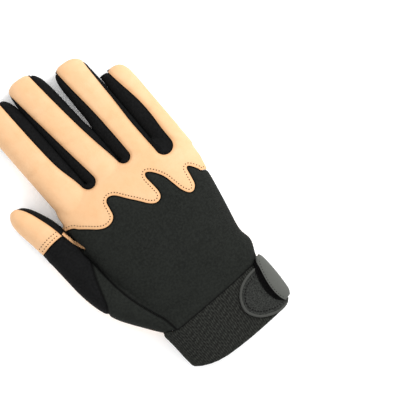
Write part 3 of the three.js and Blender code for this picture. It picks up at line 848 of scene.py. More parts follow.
def panel_object(name, layer, spec, thickness):
    """A sewn panel: its part of the form, swollen between its seams and given a thickness."""
    form = cut_form()
    covers = layer == "overlay"
    owners, seams = form[layer]
    faces = [form["faces"][k] for k in np.nonzero(owners == name)[0]]
    if not faces:
        raise RuntimeError(f"{name} has no surface")
    used = sorted({v for face in faces for v in face})
    renumber = {v: k for k, v in enumerate(used)}
    points, normals = form["points"][used], form["normals"][used]
    lapped, sewn = [], []
    for other, pairs in seams[name].items():
        (lapped if other in spec["over"] else sewn).extend(pairs)
    to_lap, to_seam = distance_to(points, lapped), distance_to(points, sewn)
    offset = spec["edge"] + (spec["lift"] - spec["edge"]) * (1 - np.exp(-(to_seam / EDGE_ROLL) ** 2))
    offset += spec["puff"] * (1 - np.exp(-np.minimum(to_lap, to_seam) / SEAM_SPREAD))
    before = points
    points = points + normals * offset[:, None]
    own_side(points, before, OVERLAY_CLEAR if covers else 0.0)
    points[:, 2] = np.maximum(points[:, 2], OVERLAY_FLOOR if covers else PANEL_FLOOR)
    if covers:
        rows = sum(np.exp(-((to_lap - row) / GROOVE_WIDTH) ** 2) for row in STITCH_ROWS)
        points -= normals * (STITCH_GROOVE * rows)[:, None]
    obj = new_object(f"sewn_{name}", points, [[renumber[v] for v in face] for face in faces])
    write_attribute(obj, "seam", np.minimum(to_lap, to_seam))
    thicken(obj, thickness, 50, material_offset=1, material_offset_rim=2)
    return obj


def finish_piece(obj, materials):
    for material in materials:
        obj.data.materials.append(material)
    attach(obj, "root")
    obj.select_set(False)
    return obj


def dress(obj, materials, nodes):
    """Give a piece its materials, attach it to the root body and hide the CAD parts that it replaces."""
    finish_piece(obj, materials)
    if nodes:
        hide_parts(*nodes)


# Cuff and closure

CUFF_MOUTH = (
    (-40, 3.5), (-33, -0.6), (-26.7, -2.8), (-21.1, -4.0), (-12.2, -4.7),
    (-1.1, -4.4), (10, -3.7), (21.1, -2.6), (32.2, -1.4), (46, 0.2),
)
CUFF_THICKNESS = 1.3
CUFF_SPAN = (-6.0, 42.0)
CUFF_LOOPS = 60
CUFF_COLUMNS = 900
CUFF_ROWS = 48
RIB_HEIGHT = 0.38
CUFF_LAP = 0.6
CUFF_FACETS = 1440
CUFF_FLOOR = 0.35
TAB = dict(end=46.0, centre=17.0, length=30.0, width=34.0, thickness=1.6)
TAB_SHEET = 1.3
TAB_GRID = 0.5
TAB_GROOVE = dict(inset=2.1, width=0.5, depth=0.22)
LIP_SHEET = 1.5
HOOK_SHEET = 0.7
TAB_OUTLINE = (
    (0.00, 0.52), (0.25, 0.52), (0.52, 0.47), (0.76, 0.36), (0.93, 0.18), (1.00, -0.04),
    (0.95, -0.22), (0.78, -0.39), (0.52, -0.49), (0.31, -0.52), (0.10, -0.48), (0.00, -0.39),
)
PIPING = 0.95
PIPING_SIDES = 14
# Lip, from its top end to its bottom end: X and Y of the left edge, X and Y of the right edge,
# how far the left edge stands up, and the height of the right edge
LIP_ROWS = (
    (44.8, 39.4, 45.4, 39.9, 2.4, 12.0),
    (42.7, 35.0, 46.6, 38.2, 4.4, 9.0),
    (41.6, 30.0, 47.6, 33.4, 5.2, 8.2),
    (40.8, 24.0, 48.4, 27.0, 5.4, 7.8),
    (40.5, 18.4, 48.9, 20.5, 5.2, 7.6),
    (40.9, 12.4, 49.1, 13.8, 4.6, 7.6),
    (42.2, 7.4, 49.0, 8.9, 3.4, 7.8),
    (44.2, 4.4, 47.6, 5.6, 2.0, 8.6),
)
LIP_LINES = 60
LIP_POINTS = 26
HOOK_WIDTH = 5.0
HOOK_POINTS = 12


def length_along(line):
    return np.concatenate([[0], np.cumsum(np.linalg.norm(np.diff(line, axis=0), axis=1))])


def even(loop, count):
    """A closed loop resampled evenly by length."""
    closed = np.vstack([loop, loop[:1]])
    along = length_along(closed)
    marks = np.linspace(0, along[-1], count, endpoint=False)
    return np.column_stack([np.interp(marks, along, part) for part in closed.T])


def even_line(line, step):
    """An open line resampled at about step."""
    line = np.asarray(line, float)
    along = length_along(line)
    marks = np.linspace(0, along[-1], max(2, int(round(along[-1] / step)) + 1))
    return np.column_stack([np.interp(marks, along, part) for part in line.T])


def cuff_shape(y):
    """Radial, ulnar and top limits of the hand's section at each Y."""
    rows = spline(HAND_ROWS, 200)
    at = [np.interp(y / HAND_LENGTH, rows[:, 0], rows[:, k]) for k in (1, 2, 3)]
    return at[0] * HAND_WIDTH, at[1] * HAND_WIDTH, SKIN_FLOOR + at[2] * HAND_HEIGHT


def cuff_top(x, y, out):
    """Height of the cuff's upper surface, moved out by a distance."""
    radial, ulnar, top = cuff_shape(y)
    middle, half = (radial + ulnar) / 2, (ulnar - radial) / 2 + out
    waist = SKIN_FLOOR + WAIST * (top - SKIN_FLOOR)
    u = np.clip(np.abs(x - middle) / half, 0, 0.9985)
    return waist + (top + out - waist) * (1 - u**SIDE_FULLNESS) ** (1 / SIDE_FULLNESS)


def grid_faces(rows, columns, closed):
    faces = []
    for r in range(rows - 1):
        for c in range(columns if closed else columns - 1):
            n = (c + 1) % columns
            faces.append((r * columns + c, r * columns + n, (r + 1) * columns + n, (r + 1) * columns + c))
    return faces


def tube_faces(rows, columns):
    """Faces of a tube with its two ends closed."""
    start = (rows - 1) * columns
    ends = [tuple(range(columns - 1, -1, -1)), tuple(range(start, start + columns))]
    return grid_faces(rows, columns, True) + ends


def cuff_loop(y, columns):
    radial, ulnar, top = cuff_shape(y)
    return even(section(y, radial, ulnar, SKIN_FLOOR, top, CUFF_FACETS), columns)


def cuff_points(columns, rows, pitch):
    """Points of the ribbed cuff, and how high on a rib each of them is, which the cuff's colour uses to paint
    light on the rib crests and shade between the ribs.
    """
    first, last = CUFF_SPAN
    loops = np.array([cuff_loop(y, columns) for y in np.linspace(first, last, CUFF_LOOPS)])
    seam = spline(on_hand(CUFF_SEAM), 200)
    mouth = np.asarray(CUFF_MOUTH, float)
    middle = loops[CUFF_LOOPS // 2]
    top = np.interp(middle[:, 0], seam[:, 0], seam[:, 1]) + CUFF_LAP
    bottom = np.interp(middle[:, 0], mouth[:, 0], mouth[:, 1])
    ribs = round(np.linalg.norm(np.diff(middle, axis=0), axis=1).sum() / pitch)
    phase = np.arange(columns) * (2 * math.pi * ribs / columns)
    number = np.floor(phase / (2 * math.pi))
    points, rib_light_mask = [], []
    for t in np.linspace(0, 1, rows):
        y = bottom + (top - bottom) * t
        place = np.clip((y - first) / (last - first) * (CUFF_LOOPS - 1), 0, CUFF_LOOPS - 1.001)
        low = place.astype(int)
        part = (place - low)[:, None]
        ring = loops[low, np.arange(columns)] * (1 - part) + loops[low + 1, np.arange(columns)] * part
        ring[:, 1] = y
        out = np.roll(ring, -3, axis=0) - np.roll(ring, 3, axis=0)
        out = np.column_stack([out[:, 2], np.zeros(columns), -out[:, 0]])
        out /= np.linalg.norm(out, axis=1)[:, None]
        tuck = 0.9 * smoothstep(0.93, 1.0, t) + 0.35 * smoothstep(0.05, 0.0, t)
        waver = 0.55 * np.sin(t * 31 + 0.05 * phase) + 0.45 * np.sin(t * 74 + 0.61 * phase)
        broken = 0.72 + 0.28 * np.sin(t * 55 + 2.4 * number + 1.7 * np.sin(5.1 * number))
        ridge = np.abs(np.cos(phase / 2 + 0.5 * waver)) ** 0.8 * broken
        rib_light_mask.append(ridge)
        rib = RIB_HEIGHT * (ridge - 0.5) * smoothstep(0.0, 0.05, t)
        ring += out * (rib + 0.15 - tuck)[:, None]
        ring[:, 2] = np.maximum(ring[:, 2], CUFF_FLOOR)
        points.append(ring)
    return np.vstack(points), np.concatenate(rib_light_mask)


def tab_outline(rim):
    """Plan outline of the tab, drawn in by rim."""
    back, aside = np.transpose(TAB_OUTLINE)
    x = TAB["end"] - back * (TAB["length"] - rim)
    return spline(np.column_stack([x, TAB["centre"] + aside * (TAB["width"] - 2 * rim)]), 90)


def tab_object():
    outline = tab_outline(1.2)
    xs = np.arange(TAB["end"] - TAB["length"] - 1, TAB["end"] + 0.3, TAB_GRID)
    ys = np.arange(-2, 38, TAB_GRID)
    flat = np.array([(x, y, 0.0) for y in ys for x in xs])
    mesh = bmesh.new()
    verts = [mesh.verts.new(p) for p in flat]
    for face in grid_faces(len(ys), len(xs), False):
        mesh.faces.new([verts[k] for k in face])
    cut_along(mesh, lambda p: signed_distance(p, outline))
    outside = signed_distance(face_centres(mesh), outline) < 0
    bmesh.ops.delete(mesh, geom=[f for f, out in zip(list(mesh.faces), outside) if out], context="FACES")
    points, faces = take_apart(mesh)
    depth = np.abs(signed_distance(points, outline))
    groove = TAB_GROOVE["depth"] * np.exp(-((depth - TAB_GROOVE["inset"]) / TAB_GROOVE["width"]) ** 2)
    points[:, 2] = cuff_top(points[:, 0], points[:, 1], TAB["thickness"] + 0.35) - groove
    obj = new_object("strap_tab", points, faces)
    write_attribute(obj, "seam", depth)
    thicken(obj, TAB_SHEET * MM, 50)
    return obj


def piping_object():
    """Bound rim of the tab, a flattened tube along its outline."""
    line = even_line(tab_outline(0.95), 0.7)
    middle = np.column_stack([line, cuff_top(line[:, 0], line[:, 1], TAB["thickness"])])
    along = np.gradient(middle, axis=0)
    along /= np.linalg.norm(along, axis=1)[:, None]
    up = np.array([0.0, 0.0, 1.0])
    side = np.cross(along, up)
    side /= np.linalg.norm(side, axis=1)[:, None]
    top = np.cross(side, along)
    turn = np.linspace(0, 2 * math.pi, PIPING_SIDES, endpoint=False)
    wide, tall = PIPING * np.cos(turn), 0.75 * PIPING * np.sin(turn)
    points = np.vstack([m + np.outer(wide, s) + np.outer(tall, t) for m, s, t in zip(middle, side, top)])
    obj = new_object("tab_piping", points, tube_faces(len(middle), PIPING_SIDES))
    face_outwards(obj)
    bpy.ops.object.shade_smooth_by_angle(angle=math.radians(60))
    return obj


def lip_point(row, across):
    """Point of the lip from its free left edge (0) round to the ulnar side (1)."""
    left_x, left_y, right_x, right_y, up, low = row
    top = cuff_top(np.array([left_x]), np.array([left_y]), TAB["thickness"])[0] + up
    turn = across * math.pi / 2
    x = left_x + (right_x - left_x) * math.sin(turn)
    z = low + (top - low) * math.cos(turn) ** 0.8
    return x, left_y + (right_y - left_y) * math.sin(turn), z


def lip_object():
    across = np.linspace(0, 1, LIP_POINTS)
    points = [lip_point(row, a) for row in spline(LIP_ROWS, LIP_LINES) for a in across]
    obj = new_object("strap_lip", points, grid_faces(LIP_LINES, LIP_POINTS, False))
    write_attribute(obj, "seam", np.tile(across * 10, LIP_LINES))
    thicken(obj, LIP_SHEET * MM, 60)
    return obj


def hook_tape_object():
    """Hook tape inside the lip, from its free edge down to the tab; its near-black colour is partly painted
    shade under the lip.
    """
    points, across = [], np.linspace(0, 1, HOOK_POINTS)
    for k, row in enumerate(spline(LIP_ROWS, LIP_LINES)):
        width = HOOK_WIDTH * math.sin(math.pi * min(1.0, 0.06 + 0.94 * k / (LIP_LINES - 1))) ** 0.45
        width *= 1.0 + 0.07 * math.sin(2.9 * k) + 0.05 * math.sin(1.7 * k)
        x = row[0] + 0.5 - width * across
        y = np.full(HOOK_POINTS, row[1])
        foot = cuff_top(x, y, TAB["thickness"]) + 0.9
        rise = (row[4] - 1.1) * (1 - across) ** 1.8
        points += list(np.column_stack([x, y, foot + rise]))
    obj = new_object("hook_tape", points, grid_faces(LIP_LINES, HOOK_POINTS, False))
    write_attribute(obj, "seam", np.full(len(points), 9.0))
    thicken(obj, HOOK_SHEET * MM, 60)
    return obj


# Stitching

# Rings of one stitch, as shares of its half length and radius: along, size, rise
STITCH_RINGS = (
    (-1.0, 0.15, -0.5), (-0.72, 0.75, 0.1), (0.0, 1.0, 0.35), (0.72, 0.75, 0.1), (1.0, 0.15, -0.5),
)
STITCH_SIDES = 6
LEATHER_STITCH = 0.72
LIP_STITCH = 0.8
LEATHER_THREAD = 0.35
PATCH_THREAD = 0.30
TAB_THREAD = 0.34
LIP_THREAD = 0.20
LINE_STEP = 0.6


def inset_line(outline, distance, closed):
    """A line moved sideways to the left of its direction."""
    line = even(outline, max(8, len(outline) * 3)) if closed else even_line(outline, LINE_STEP)
    ahead = np.roll(line, -1, axis=0) - np.roll(line, 1, axis=0) if closed else np.gradient(line, axis=0)
    ahead /= np.linalg.norm(ahead, axis=1)[:, None] + 1e-12
    moved = line + distance * np.column_stack([-ahead[:, 1], ahead[:, 0]])
    gap = np.abs(signed_distance(moved, outline)) if closed else np.full(len(moved), abs(distance))
    return moved[gap > 0.93 * abs(distance)]


def stitch_row(line, side, tree, length, spacing, radius):
    """Stitches along a plan line, dropped onto a surface; returns points and faces."""
    jumps = np.linalg.norm(np.diff(line, axis=0), axis=1)
    runs = np.split(line, np.nonzero(jumps > 4)[0] + 1)
    points, faces = [], []
    turn = np.linspace(0, 2 * math.pi, STITCH_SIDES, endpoint=False)
    stitch_faces = tube_faces(len(STITCH_RINGS), STITCH_SIDES)
    for run in runs:
        if len(run) < 4:
            continue
        marks = even_line(run, spacing / 2)
        for k in range(1, len(marks) - 1, 2):
            ahead = marks[k + 1] - marks[k - 1]
            hits = []
            for at in (marks[k], marks[k] - ahead * 0.3, marks[k] + ahead * 0.3):
                start = (Vector((at[0], at[1], 0.0)) - Vector(GLOVE_CENTRE)) * MM
                start.z = 0.1 if side > 0 else -0.1
                hits.append(tree.ray_cast(start, Vector((0, 0, -side))))
            if any(h[0] is None for h in hits) or (hits[1][0] - hits[2][0]).length > 1.2 * spacing * MM:
                continue
            along = (hits[2][0] - hits[1][0]).normalized()
            normal = hits[0][1]
            if normal.z * side < 0.3:
                continue
            across = along.cross(normal).normalized()
            up = across.cross(along)
            if up.dot(normal) < 0:
                up.negate()
            middle, base = hits[0][0], len(points)
            for way, size, rise in STITCH_RINGS:
                centre = middle + along * (way * length / 2 * MM) + up * (rise * radius * MM)
                for t in turn:
                    points.append(centre + (across * math.cos(t) + up * math.sin(t)) * (size * radius * MM))
            faces += [tuple(base + i for i in face) for face in stitch_faces]
    return points, faces


def stitch_object(name, rows):
    points, faces = [], []
    for more_points, more_faces in rows:
        base = len(points)
        points += [p[:] for p in more_points]
        faces += [tuple(base + i for i in face) for face in more_faces]
    if not points:
        raise RuntimeError(f"{name} found no surface to lie on")
    obj = link_mesh(name, [(x, y, max(z, 0.0)) for x, y, z in points], faces)
    face_outwards(obj)
    bpy.ops.object.shade_smooth()
    return obj


def surface_of(*names):
    """Ray-casting tree over some pieces."""
    points, faces = [], []
    for name in names:
        mesh = bpy.data.objects[name].data
        base = len(points)
        points += [v.co.copy() for v in mesh.vertices]
        faces += [[base + v for v in p.vertices] for p in mesh.polygons]
    return BVHTree.FromPolygons(points, faces)


# Materials

class Value:
    """One output of a material's nodes, with arithmetic."""

    def __init__(self, shader, socket):
        self.shader = shader
        self.socket = socket

    def math(self, operation, *others):
        return self.shader.node("ShaderNodeMath", dict(enumerate((self, *others))), operation=operation)

    def reversed_math(self, operation, other):
        return self.shader.node("ShaderNodeMath", {0: other, 1: self}, operation=operation)

    def __add__(self, other):
        return self.math("ADD", other)

    def __radd__(self, other):
        return self.reversed_math("ADD", other)

    def __sub__(self, other):
        return self.math("SUBTRACT", other)

    def __rsub__(self, other):
        return self.reversed_math("SUBTRACT", other)

    def __mul__(self, other):
        return self.math("MULTIPLY", other)

    def __rmul__(self, other):
        return self.reversed_math("MULTIPLY", other)


class Shader:
    """A material under construction."""

    def __init__(self, name):
        self.material = bpy.data.materials.new(name)
        self.material.use_nodes = True
        self.tree = self.material.node_tree
        self.tree.nodes.clear()
        self.place = self.node("ShaderNodeTexCoord", {}, output="Object")
        self.mm = self.node("ShaderNodeVectorMath", {0: self.place, "Scale": 1000.0}, operation="SCALE")

    def node(self, kind, inputs, output=0, **settings):
        node = self.tree.nodes.new(kind)
        for key, value in settings.items():
            setattr(node, key, value)
        for key, value in inputs.items():
            if isinstance(value, Value):
                self.tree.links.new(value.socket, node.inputs[key])
            else:
                node.inputs[key].default_value = value
        return Value(self, node.outputs[output])

    def axis(self, letter):
        return self.node("ShaderNodeSeparateXYZ", {0: self.mm}, output=letter)

    def noise(self, size, detail=2.0, rough=0.5):
        """Noise with features of about size millimetres."""
        inputs = {"Vector": self.mm, "Scale": 1.0 / size, "Detail": detail, "Roughness": rough}
        return self.node("ShaderNodeTexNoise", inputs)

    def cells(self, size, feature="F1", output="Distance"):
        inputs = {"Vector": self.mm, "Scale": 1.0 / size}
        return self.node("ShaderNodeTexVoronoi", inputs, output=output, feature=feature)

    def wave(self, x, y, z, pitch):
        """A sine across the direction (x, y, z), with a pitch in millimetres."""
        inputs = {0: self.mm, 1: (x, y, z)}
        phase = self.node("ShaderNodeVectorMath", inputs, output="Value", operation="DOT_PRODUCT")
        return (phase * (2 * math.pi / pitch)).math("SINE")

    def attribute(self, name):
        """A number that the piece has at each point."""
        return self.node("ShaderNodeAttribute", {}, output="Fac", attribute_name=name)

    def spread(self, value, low, high, to_low=0.0, to_high=1.0):
        return self.node("ShaderNodeMapRange", {0: value, 1: low, 2: high, 3: to_low, 4: to_high})

    def mix(self, factor, a, b):
        return self.node("ShaderNodeMix", {0: factor, 6: a, 7: b}, output=2, data_type="RGBA")

    def bump(self, height, strength=1.0):
        """Relief from a height in millimetres."""
        return self.node("ShaderNodeBump", {"Height": height, "Distance": 0.001, "Strength": strength})

    def finish(self, **inputs):
        named = {key.replace("_", " "): value for key, value in inputs.items()}
        surface = self.node("ShaderNodeBsdfPrincipled", named)
        end = self.tree.nodes.new("ShaderNodeOutputMaterial")
        self.tree.links.new(surface.socket, end.inputs["Surface"])
        return self.material


def colour(r, g, b):
    return (r, g, b, 1.0)


WHITE = colour(1.0, 1.0, 1.0)
FLOOR_GLOW = 0.13


def tint(name, *shares):
    """A colour of the settings, each part of it scaled by a share."""
    base = getattr(bpy.context.scene.glove_settings, name)
    shares = shares * 3 if len(shares) == 1 else shares
    return colour(*(part * share for part, share in zip(base, shares)))


def tan_leather():
    s = Shader("tan_leather")
    grain = s.cells(0.75, feature="DISTANCE_TO_EDGE")
    pores = s.cells(0.42)
    creases = s.noise(7.0, detail=4.0, rough=0.6)
    mottle = s.noise(26.0, detail=2.0)
    # Darker and more orange within about 3 mm of a seam: painted shade where the leather turns down at its
    # seams and into the gaps between fingers, together with wear at the edges.
    edge = s.spread(s.attribute("seam"), 0.2, 3.2, 1.0, 0.0)
    pale = tint("leather_colour", 1.03, 1.08, 1.16)
    warm = s.mix(s.spread(mottle, 0.35, 0.7), tint("leather_colour", 1.0), pale)
    worn = s.mix(s.spread(creases, 0.42, 0.75) * 0.35, warm, tint("leather_colour", 0.93, 0.83, 0.71))
    base = s.mix(edge * edge * 0.45, worn, tint("leather_colour", 0.91, 0.74, 0.55))
    height = grain * 0.05 + pores * 0.03 + creases * 0.5
    rough = s.spread(pores, 0.0, 0.6, 0.52, 0.68)
    return s.finish(Base_Color=base, Roughness=rough, Normal=s.bump(height), Specular_IOR_Level=0.2)


def cut_leather():
    s = Shader("cut_leather")
    fibre = s.noise(0.5, detail=3.0)
    base = s.mix(fibre, tint("leather_colour", 0.35, 0.28, 0.22), tint("leather_colour", 0.59, 0.52, 0.47))
    return s.finish(Base_Color=base, Roughness=0.9, Normal=s.bump(fibre * 0.08))


def lining():
    s = Shader("lining")
    weave = s.wave(1, 0, 0.4, 0.8) * s.wave(0, 1, 0.4, 0.8)
    base = s.mix(s.spread(weave, -1, 1), colour(0.030, 0.030, 0.031), colour(0.050, 0.050, 0.052))
    return s.finish(Base_Color=base, Roughness=0.95, Normal=s.bump(weave * 0.06))


def knit(name, dark, light, pitch, depth):
    """Black stretch fabric with fine wales."""
    s = Shader(name)
    wale = s.wave(1, 0.25, 0.6, pitch)
    course = s.wave(-0.25, 1, 0.6, pitch * 0.8)
    loops = (wale + course * 0.7) * 0.5
    fuzz = s.noise(0.35, detail=2.0)
    fleck = s.noise(1.5, detail=2.0, rough=0.6)
    shade = s.noise(14.0, detail=3.0)
    tone = s.spread(loops, -0.8, 0.8) * 0.3 + s.spread(fleck, 0.36, 0.66) * 0.5 + fuzz * 0.2
    base = s.mix(tone, dark, light)
    base = s.mix(s.spread(shade, 0.35, 0.75) * 0.25, base, light)
    # Near black within about 1.5 mm of a seam: painted shade in the seam's groove.
    base = s.mix(s.spread(s.attribute("seam"), 0.3, 1.5, 0.85, 0.0), base, colour(0.0012, 0.0012, 0.0012))
    height = loops * depth + fuzz * 0.05 + shade * 0.35
    return s.finish(Base_Color=base, Roughness=0.92, Normal=s.bump(height), Specular_IOR_Level=0.08)


def patch_fabric():
    """Reinforcement with rows of small raised dots, painted lighter than the cloth between them as a painted
    highlight on the dots.
    """
    s = Shader("patch_fabric")
    bend = s.noise(9.0) * 0.5
    rows = (s.axis("X") * 0.78 + s.axis("Y") * 0.62 + bend) * (2 * math.pi / 1.5)
    across = (s.axis("X") * -0.62 + s.axis("Y") * 0.78 + s.axis("Z") * 0.8 + bend) * (2 * math.pi / 1.05)
    dots = s.spread(rows.math("SINE") * across.math("SINE"), -0.15, 0.75)
    fuzz = s.noise(0.4, detail=2.0)
    # The dots are painted up to five times lighter than the cloth between them: painted highlight on the
    # raised dots.
    base = s.mix(dots * 0.8 + fuzz * 0.2, tint("patch_colour", 0.2), tint("patch_colour", 1.0))
    height = dots * 0.14 + fuzz * 0.03
    rough = s.spread(dots, 0, 1, 0.75, 0.5)
    return s.finish(Base_Color=base, Roughness=rough, Normal=s.bump(height), Specular_IOR_Level=0.15)


def elastic():
    s = Shader("cuff_elastic")
    cord = s.wave(1, 0, 0.7, 0.52)
    pick = s.wave(0, 1, 0, 1.3)
    fuzz = s.noise(0.4, detail=2.0)
    fleck = s.noise(1.3, detail=2.0, rough=0.6)
    rib = s.attribute("rib")
    # Rib crests up to the full cuff colour and the hollows near black: painted highlight on the crests and
    # painted shade between the ribs.
    tone = rib * rib * 0.7 + s.spread(fleck, 0.35, 0.65) * 0.2 + s.spread(cord + pick, -1.6, 1.6) * 0.1
    base = s.mix(tone, tint("cuff_colour", 0.07), tint("cuff_colour", 1.0))
    height = cord * 0.05 + pick * 0.05 + fuzz * 0.04
    return s.finish(Base_Color=base, Roughness=0.85, Normal=s.bump(height), Specular_IOR_Level=0.1)


def tab_fabric():
    s = Shader("tab_fabric")
    pile = s.noise(0.9, detail=3.0, rough=0.65)
    twill = s.wave(0.7, 0.7, 0.3, 1.0)
    base = s.mix(s.spread(pile, 0.35, 0.65), tint("patch_colour", 0.2), tint("patch_colour", 1.0))
    height = pile * 0.14 + twill * 0.03
    return s.finish(Base_Color=base, Roughness=0.9, Normal=s.bump(height), Specular_IOR_Level=0.1)


def hook_pile():
    s = Shader("hook_pile")
    pile = s.cells(0.7)
    # Darker than any other black cloth of the glove: painted shade under the lip, over the tape's own black.
    base = s.mix(s.spread(pile, 0.1, 0.6), colour(0.0060, 0.0060, 0.0062), colour(0.0012, 0.0012, 0.0012))
    return s.finish(Base_Color=base, Roughness=0.9, Normal=s.bump(pile * 0.25), Specular_IOR_Level=0.05)


def binding(name, dark, light):
    s = Shader(name)
    weave = s.wave(0.9, 0.3, 0.5, 0.9) * s.wave(-0.3, 0.9, 0.5, 0.9)
    fuzz = s.noise(0.5, detail=3.0)
    base = s.mix(s.spread(weave, -0.8, 0.8) * 0.5 + fuzz * 0.5, dark, light)
    height = weave * 0.06 + fuzz * 0.05
    return s.finish(Base_Color=base, Roughness=0.8, Normal=s.bump(height), Specular_IOR_Level=0.12)


def thread(name, dark, light):
    s = Shader(name)
    twist = s.wave(0.8, 0.8, 0.5, 0.45)
    base = s.mix(s.spread(twist, -1, 1), dark, light)
    return s.finish(Base_Color=base, Roughness=0.85, Normal=s.bump(twist * 0.03), Specular_IOR_Level=0.08)


def floor_paper():
    s = Shader("floor_paper")
    tooth = s.noise(1.2, detail=3.0)
    base = s.mix(tooth, colour(0.93, 0.93, 0.93), colour(0.96, 0.96, 0.96))
    return s.finish(Base_Color=base, Roughness=0.9, Normal=s.bump(tooth * 0.02),
                    Emission_Color=WHITE, Emission_Strength=FLOOR_GLOW)


# The add-on

class GloveSettings(bpy.types.PropertyGroup):
    fineness: bpy.props.FloatProperty(
        name="Fineness", description="Size of the faces of the sewn panels",
        default=0.0009, min=0.0006, max=0.004, subtype="DISTANCE", unit="LENGTH", precision=4)
    sheet_thickness: bpy.props.FloatProperty(
        name="Sheet thickness", description="Thickness of the leather and fabric",
        default=0.0011, min=0.0003, max=0.002, subtype="DISTANCE", unit="LENGTH", precision=4)
    rib_pitch: bpy.props.FloatProperty(
        name="Rib pitch", description="Distance between the ribs of the cuff",
        default=0.0017, min=0.001, max=0.006, subtype="DISTANCE", unit="LENGTH", precision=4)
    stitch_length: bpy.props.FloatProperty(
        name="Stitch length", description="Length of one visible stitch",
        default=0.0014, min=0.001, max=0.005, subtype="DISTANCE", unit="LENGTH", precision=4)
    stitch_spacing: bpy.props.FloatProperty(
        name="Stitch spacing", description="Distance from one stitch to the next",
        default=0.00205, min=0.0015, max=0.008, subtype="DISTANCE", unit="LENGTH", precision=4)

    leather_colour: bpy.props.FloatVectorProperty(
        name="Leather", description="Colour of the tan leather",
        default=(0.572, 0.345, 0.182), min=0.0, max=1.0, size=3, subtype="COLOR")
    fabric_colour: bpy.props.FloatVectorProperty(
        name="Stretch fabric", description="Lightest tone of the back, finger sides and thumb",
        default=(0.0155, 0.0172, 0.0150), min=0.0, max=1.0, size=3, subtype="COLOR")
    patch_colour: bpy.props.FloatVectorProperty(
        name="Reinforcement", description="Lightest tone of the patches, caps and strap tab",
        default=(0.0300, 0.0315, 0.0290), min=0.0, max=1.0, size=3, subtype="COLOR")
    cuff_colour: bpy.props.FloatVectorProperty(
        name="Cuff", description="Lightest tone of the cuff's elastic",
        default=(0.0330, 0.0350, 0.0300), min=0.0, max=1.0, size=3, subtype="COLOR")
    binding_colour: bpy.props.FloatVectorProperty(
        name="Binding", description="Colour of the strap's lip and piping",
        default=(0.092, 0.095, 0.086), min=0.0, max=1.0, size=3, subtype="COLOR")
    thread_colour: bpy.props.FloatVectorProperty(
        name="Thread", description="Colour of the stitches on patches and caps",
        default=(0.46, 0.435, 0.36), min=0.0, max=1.0, size=3, subtype="COLOR")


class GLOVE_OT_leather(bpy.types.Operator):
    """Add the tan leather panels of the back, palm and thumb"""
    bl_idname = "glove.leather"
    bl_label = "Leather"

    def execute(self, context):
        faces = [tan_leather(), lining(), cut_leather()]
        for name, spec in LEATHERS.items():
            obj = panel_object(name, "panel", spec, context.scene.glove_settings.sheet_thickness)
            dress(obj, faces, [name])
        return {"FINISHED"}


class GLOVE_OT_fabric(bpy.types.Operator):
    """Add the black stretch panels of the back, finger sides and thumb"""
    bl_idname = "glove.fabric"
    bl_label = "Stretch fabric"

    def execute(self, context):
        inside = bpy.data.materials["lining"]
        back = knit("stretch_fabric", tint("fabric_colour", 0.27), tint("fabric_colour", 1.0), 0.75, 0.06)
        # The side fabric, used on the finger sides, the thumb and all fabric edges, is much darker than the
        # back's. On the finger sides this darkness is painted shade of the deep gaps between the fingers.
        dark, light = tint("fabric_colour", 0.07, 0.07, 0.08), tint("fabric_colour", 0.46, 0.42, 0.50)
        side = knit("side_fabric", dark, light, 0.7, 0.05)
        for name, spec in FABRICS.items():
            faces = [back if name in ("back_panel", "thumb_gusset") else side, inside, side]
            obj = panel_object(name, "panel", spec, context.scene.glove_settings.sheet_thickness)
            dress(obj, faces, [name])
        return {"FINISHED"}


class GLOVE_OT_reinforcement(bpy.types.Operator):
    """Add the palm patches and the fingertip caps"""
    bl_idname = "glove.reinforcement"
    bl_label = "Reinforcement"

    def execute(self, context):
        cloth = patch_fabric()
        for name, spec in REINFORCEMENTS.items():
            obj = panel_object(name, "overlay", spec, REINFORCEMENT_THICKNESS * MM)
            dress(obj, [cloth], [name])
        return {"FINISHED"}


class GLOVE_OT_cuff(bpy.types.Operator):
    """Add the ribbed elastic cuff"""
    bl_idname = "glove.cuff"
    bl_label = "Cuff"

    def execute(self, context):
        pitch = context.scene.glove_settings.rib_pitch / MM
        points, rib_light_mask = cuff_points(CUFF_COLUMNS, CUFF_ROWS, pitch)
        faces = [tuple(reversed(f)) for f in grid_faces(CUFF_ROWS, CUFF_COLUMNS, True)]
        obj = new_object("cuff", points, faces)
        write_attribute(obj, "rib", rib_light_mask)
        face_outwards(obj)
        thicken(obj, CUFF_THICKNESS * MM, 60)
        dress(obj, [elastic()], ["cuff_band"])
        return {"FINISHED"}


class GLOVE_OT_closure(bpy.types.Operator):
    """Add the strap's tab with its piping, and the grey lip at the side"""
    bl_idname = "glove.closure"
    bl_label = "Closure"

    def execute(self, context):
        obj = tab_object()
        dress(obj, [tab_fabric()], ["closure_tab"])
        cloth = binding("tab_piping", tint("binding_colour", 0.24), tint("binding_colour", 0.65))
        piping = finish_piece(piping_object(), [cloth])
        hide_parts("tab_binding")
        hooks = hook_tape_object()
        dress(hooks, [hook_pile()], [])
        obj = lip_object()
        cloth = binding("grey_binding", tint("binding_colour", 0.43), tint("binding_colour", 1.0))
        dress(obj, [cloth], ["tab_lip"])
        return {"FINISHED"}


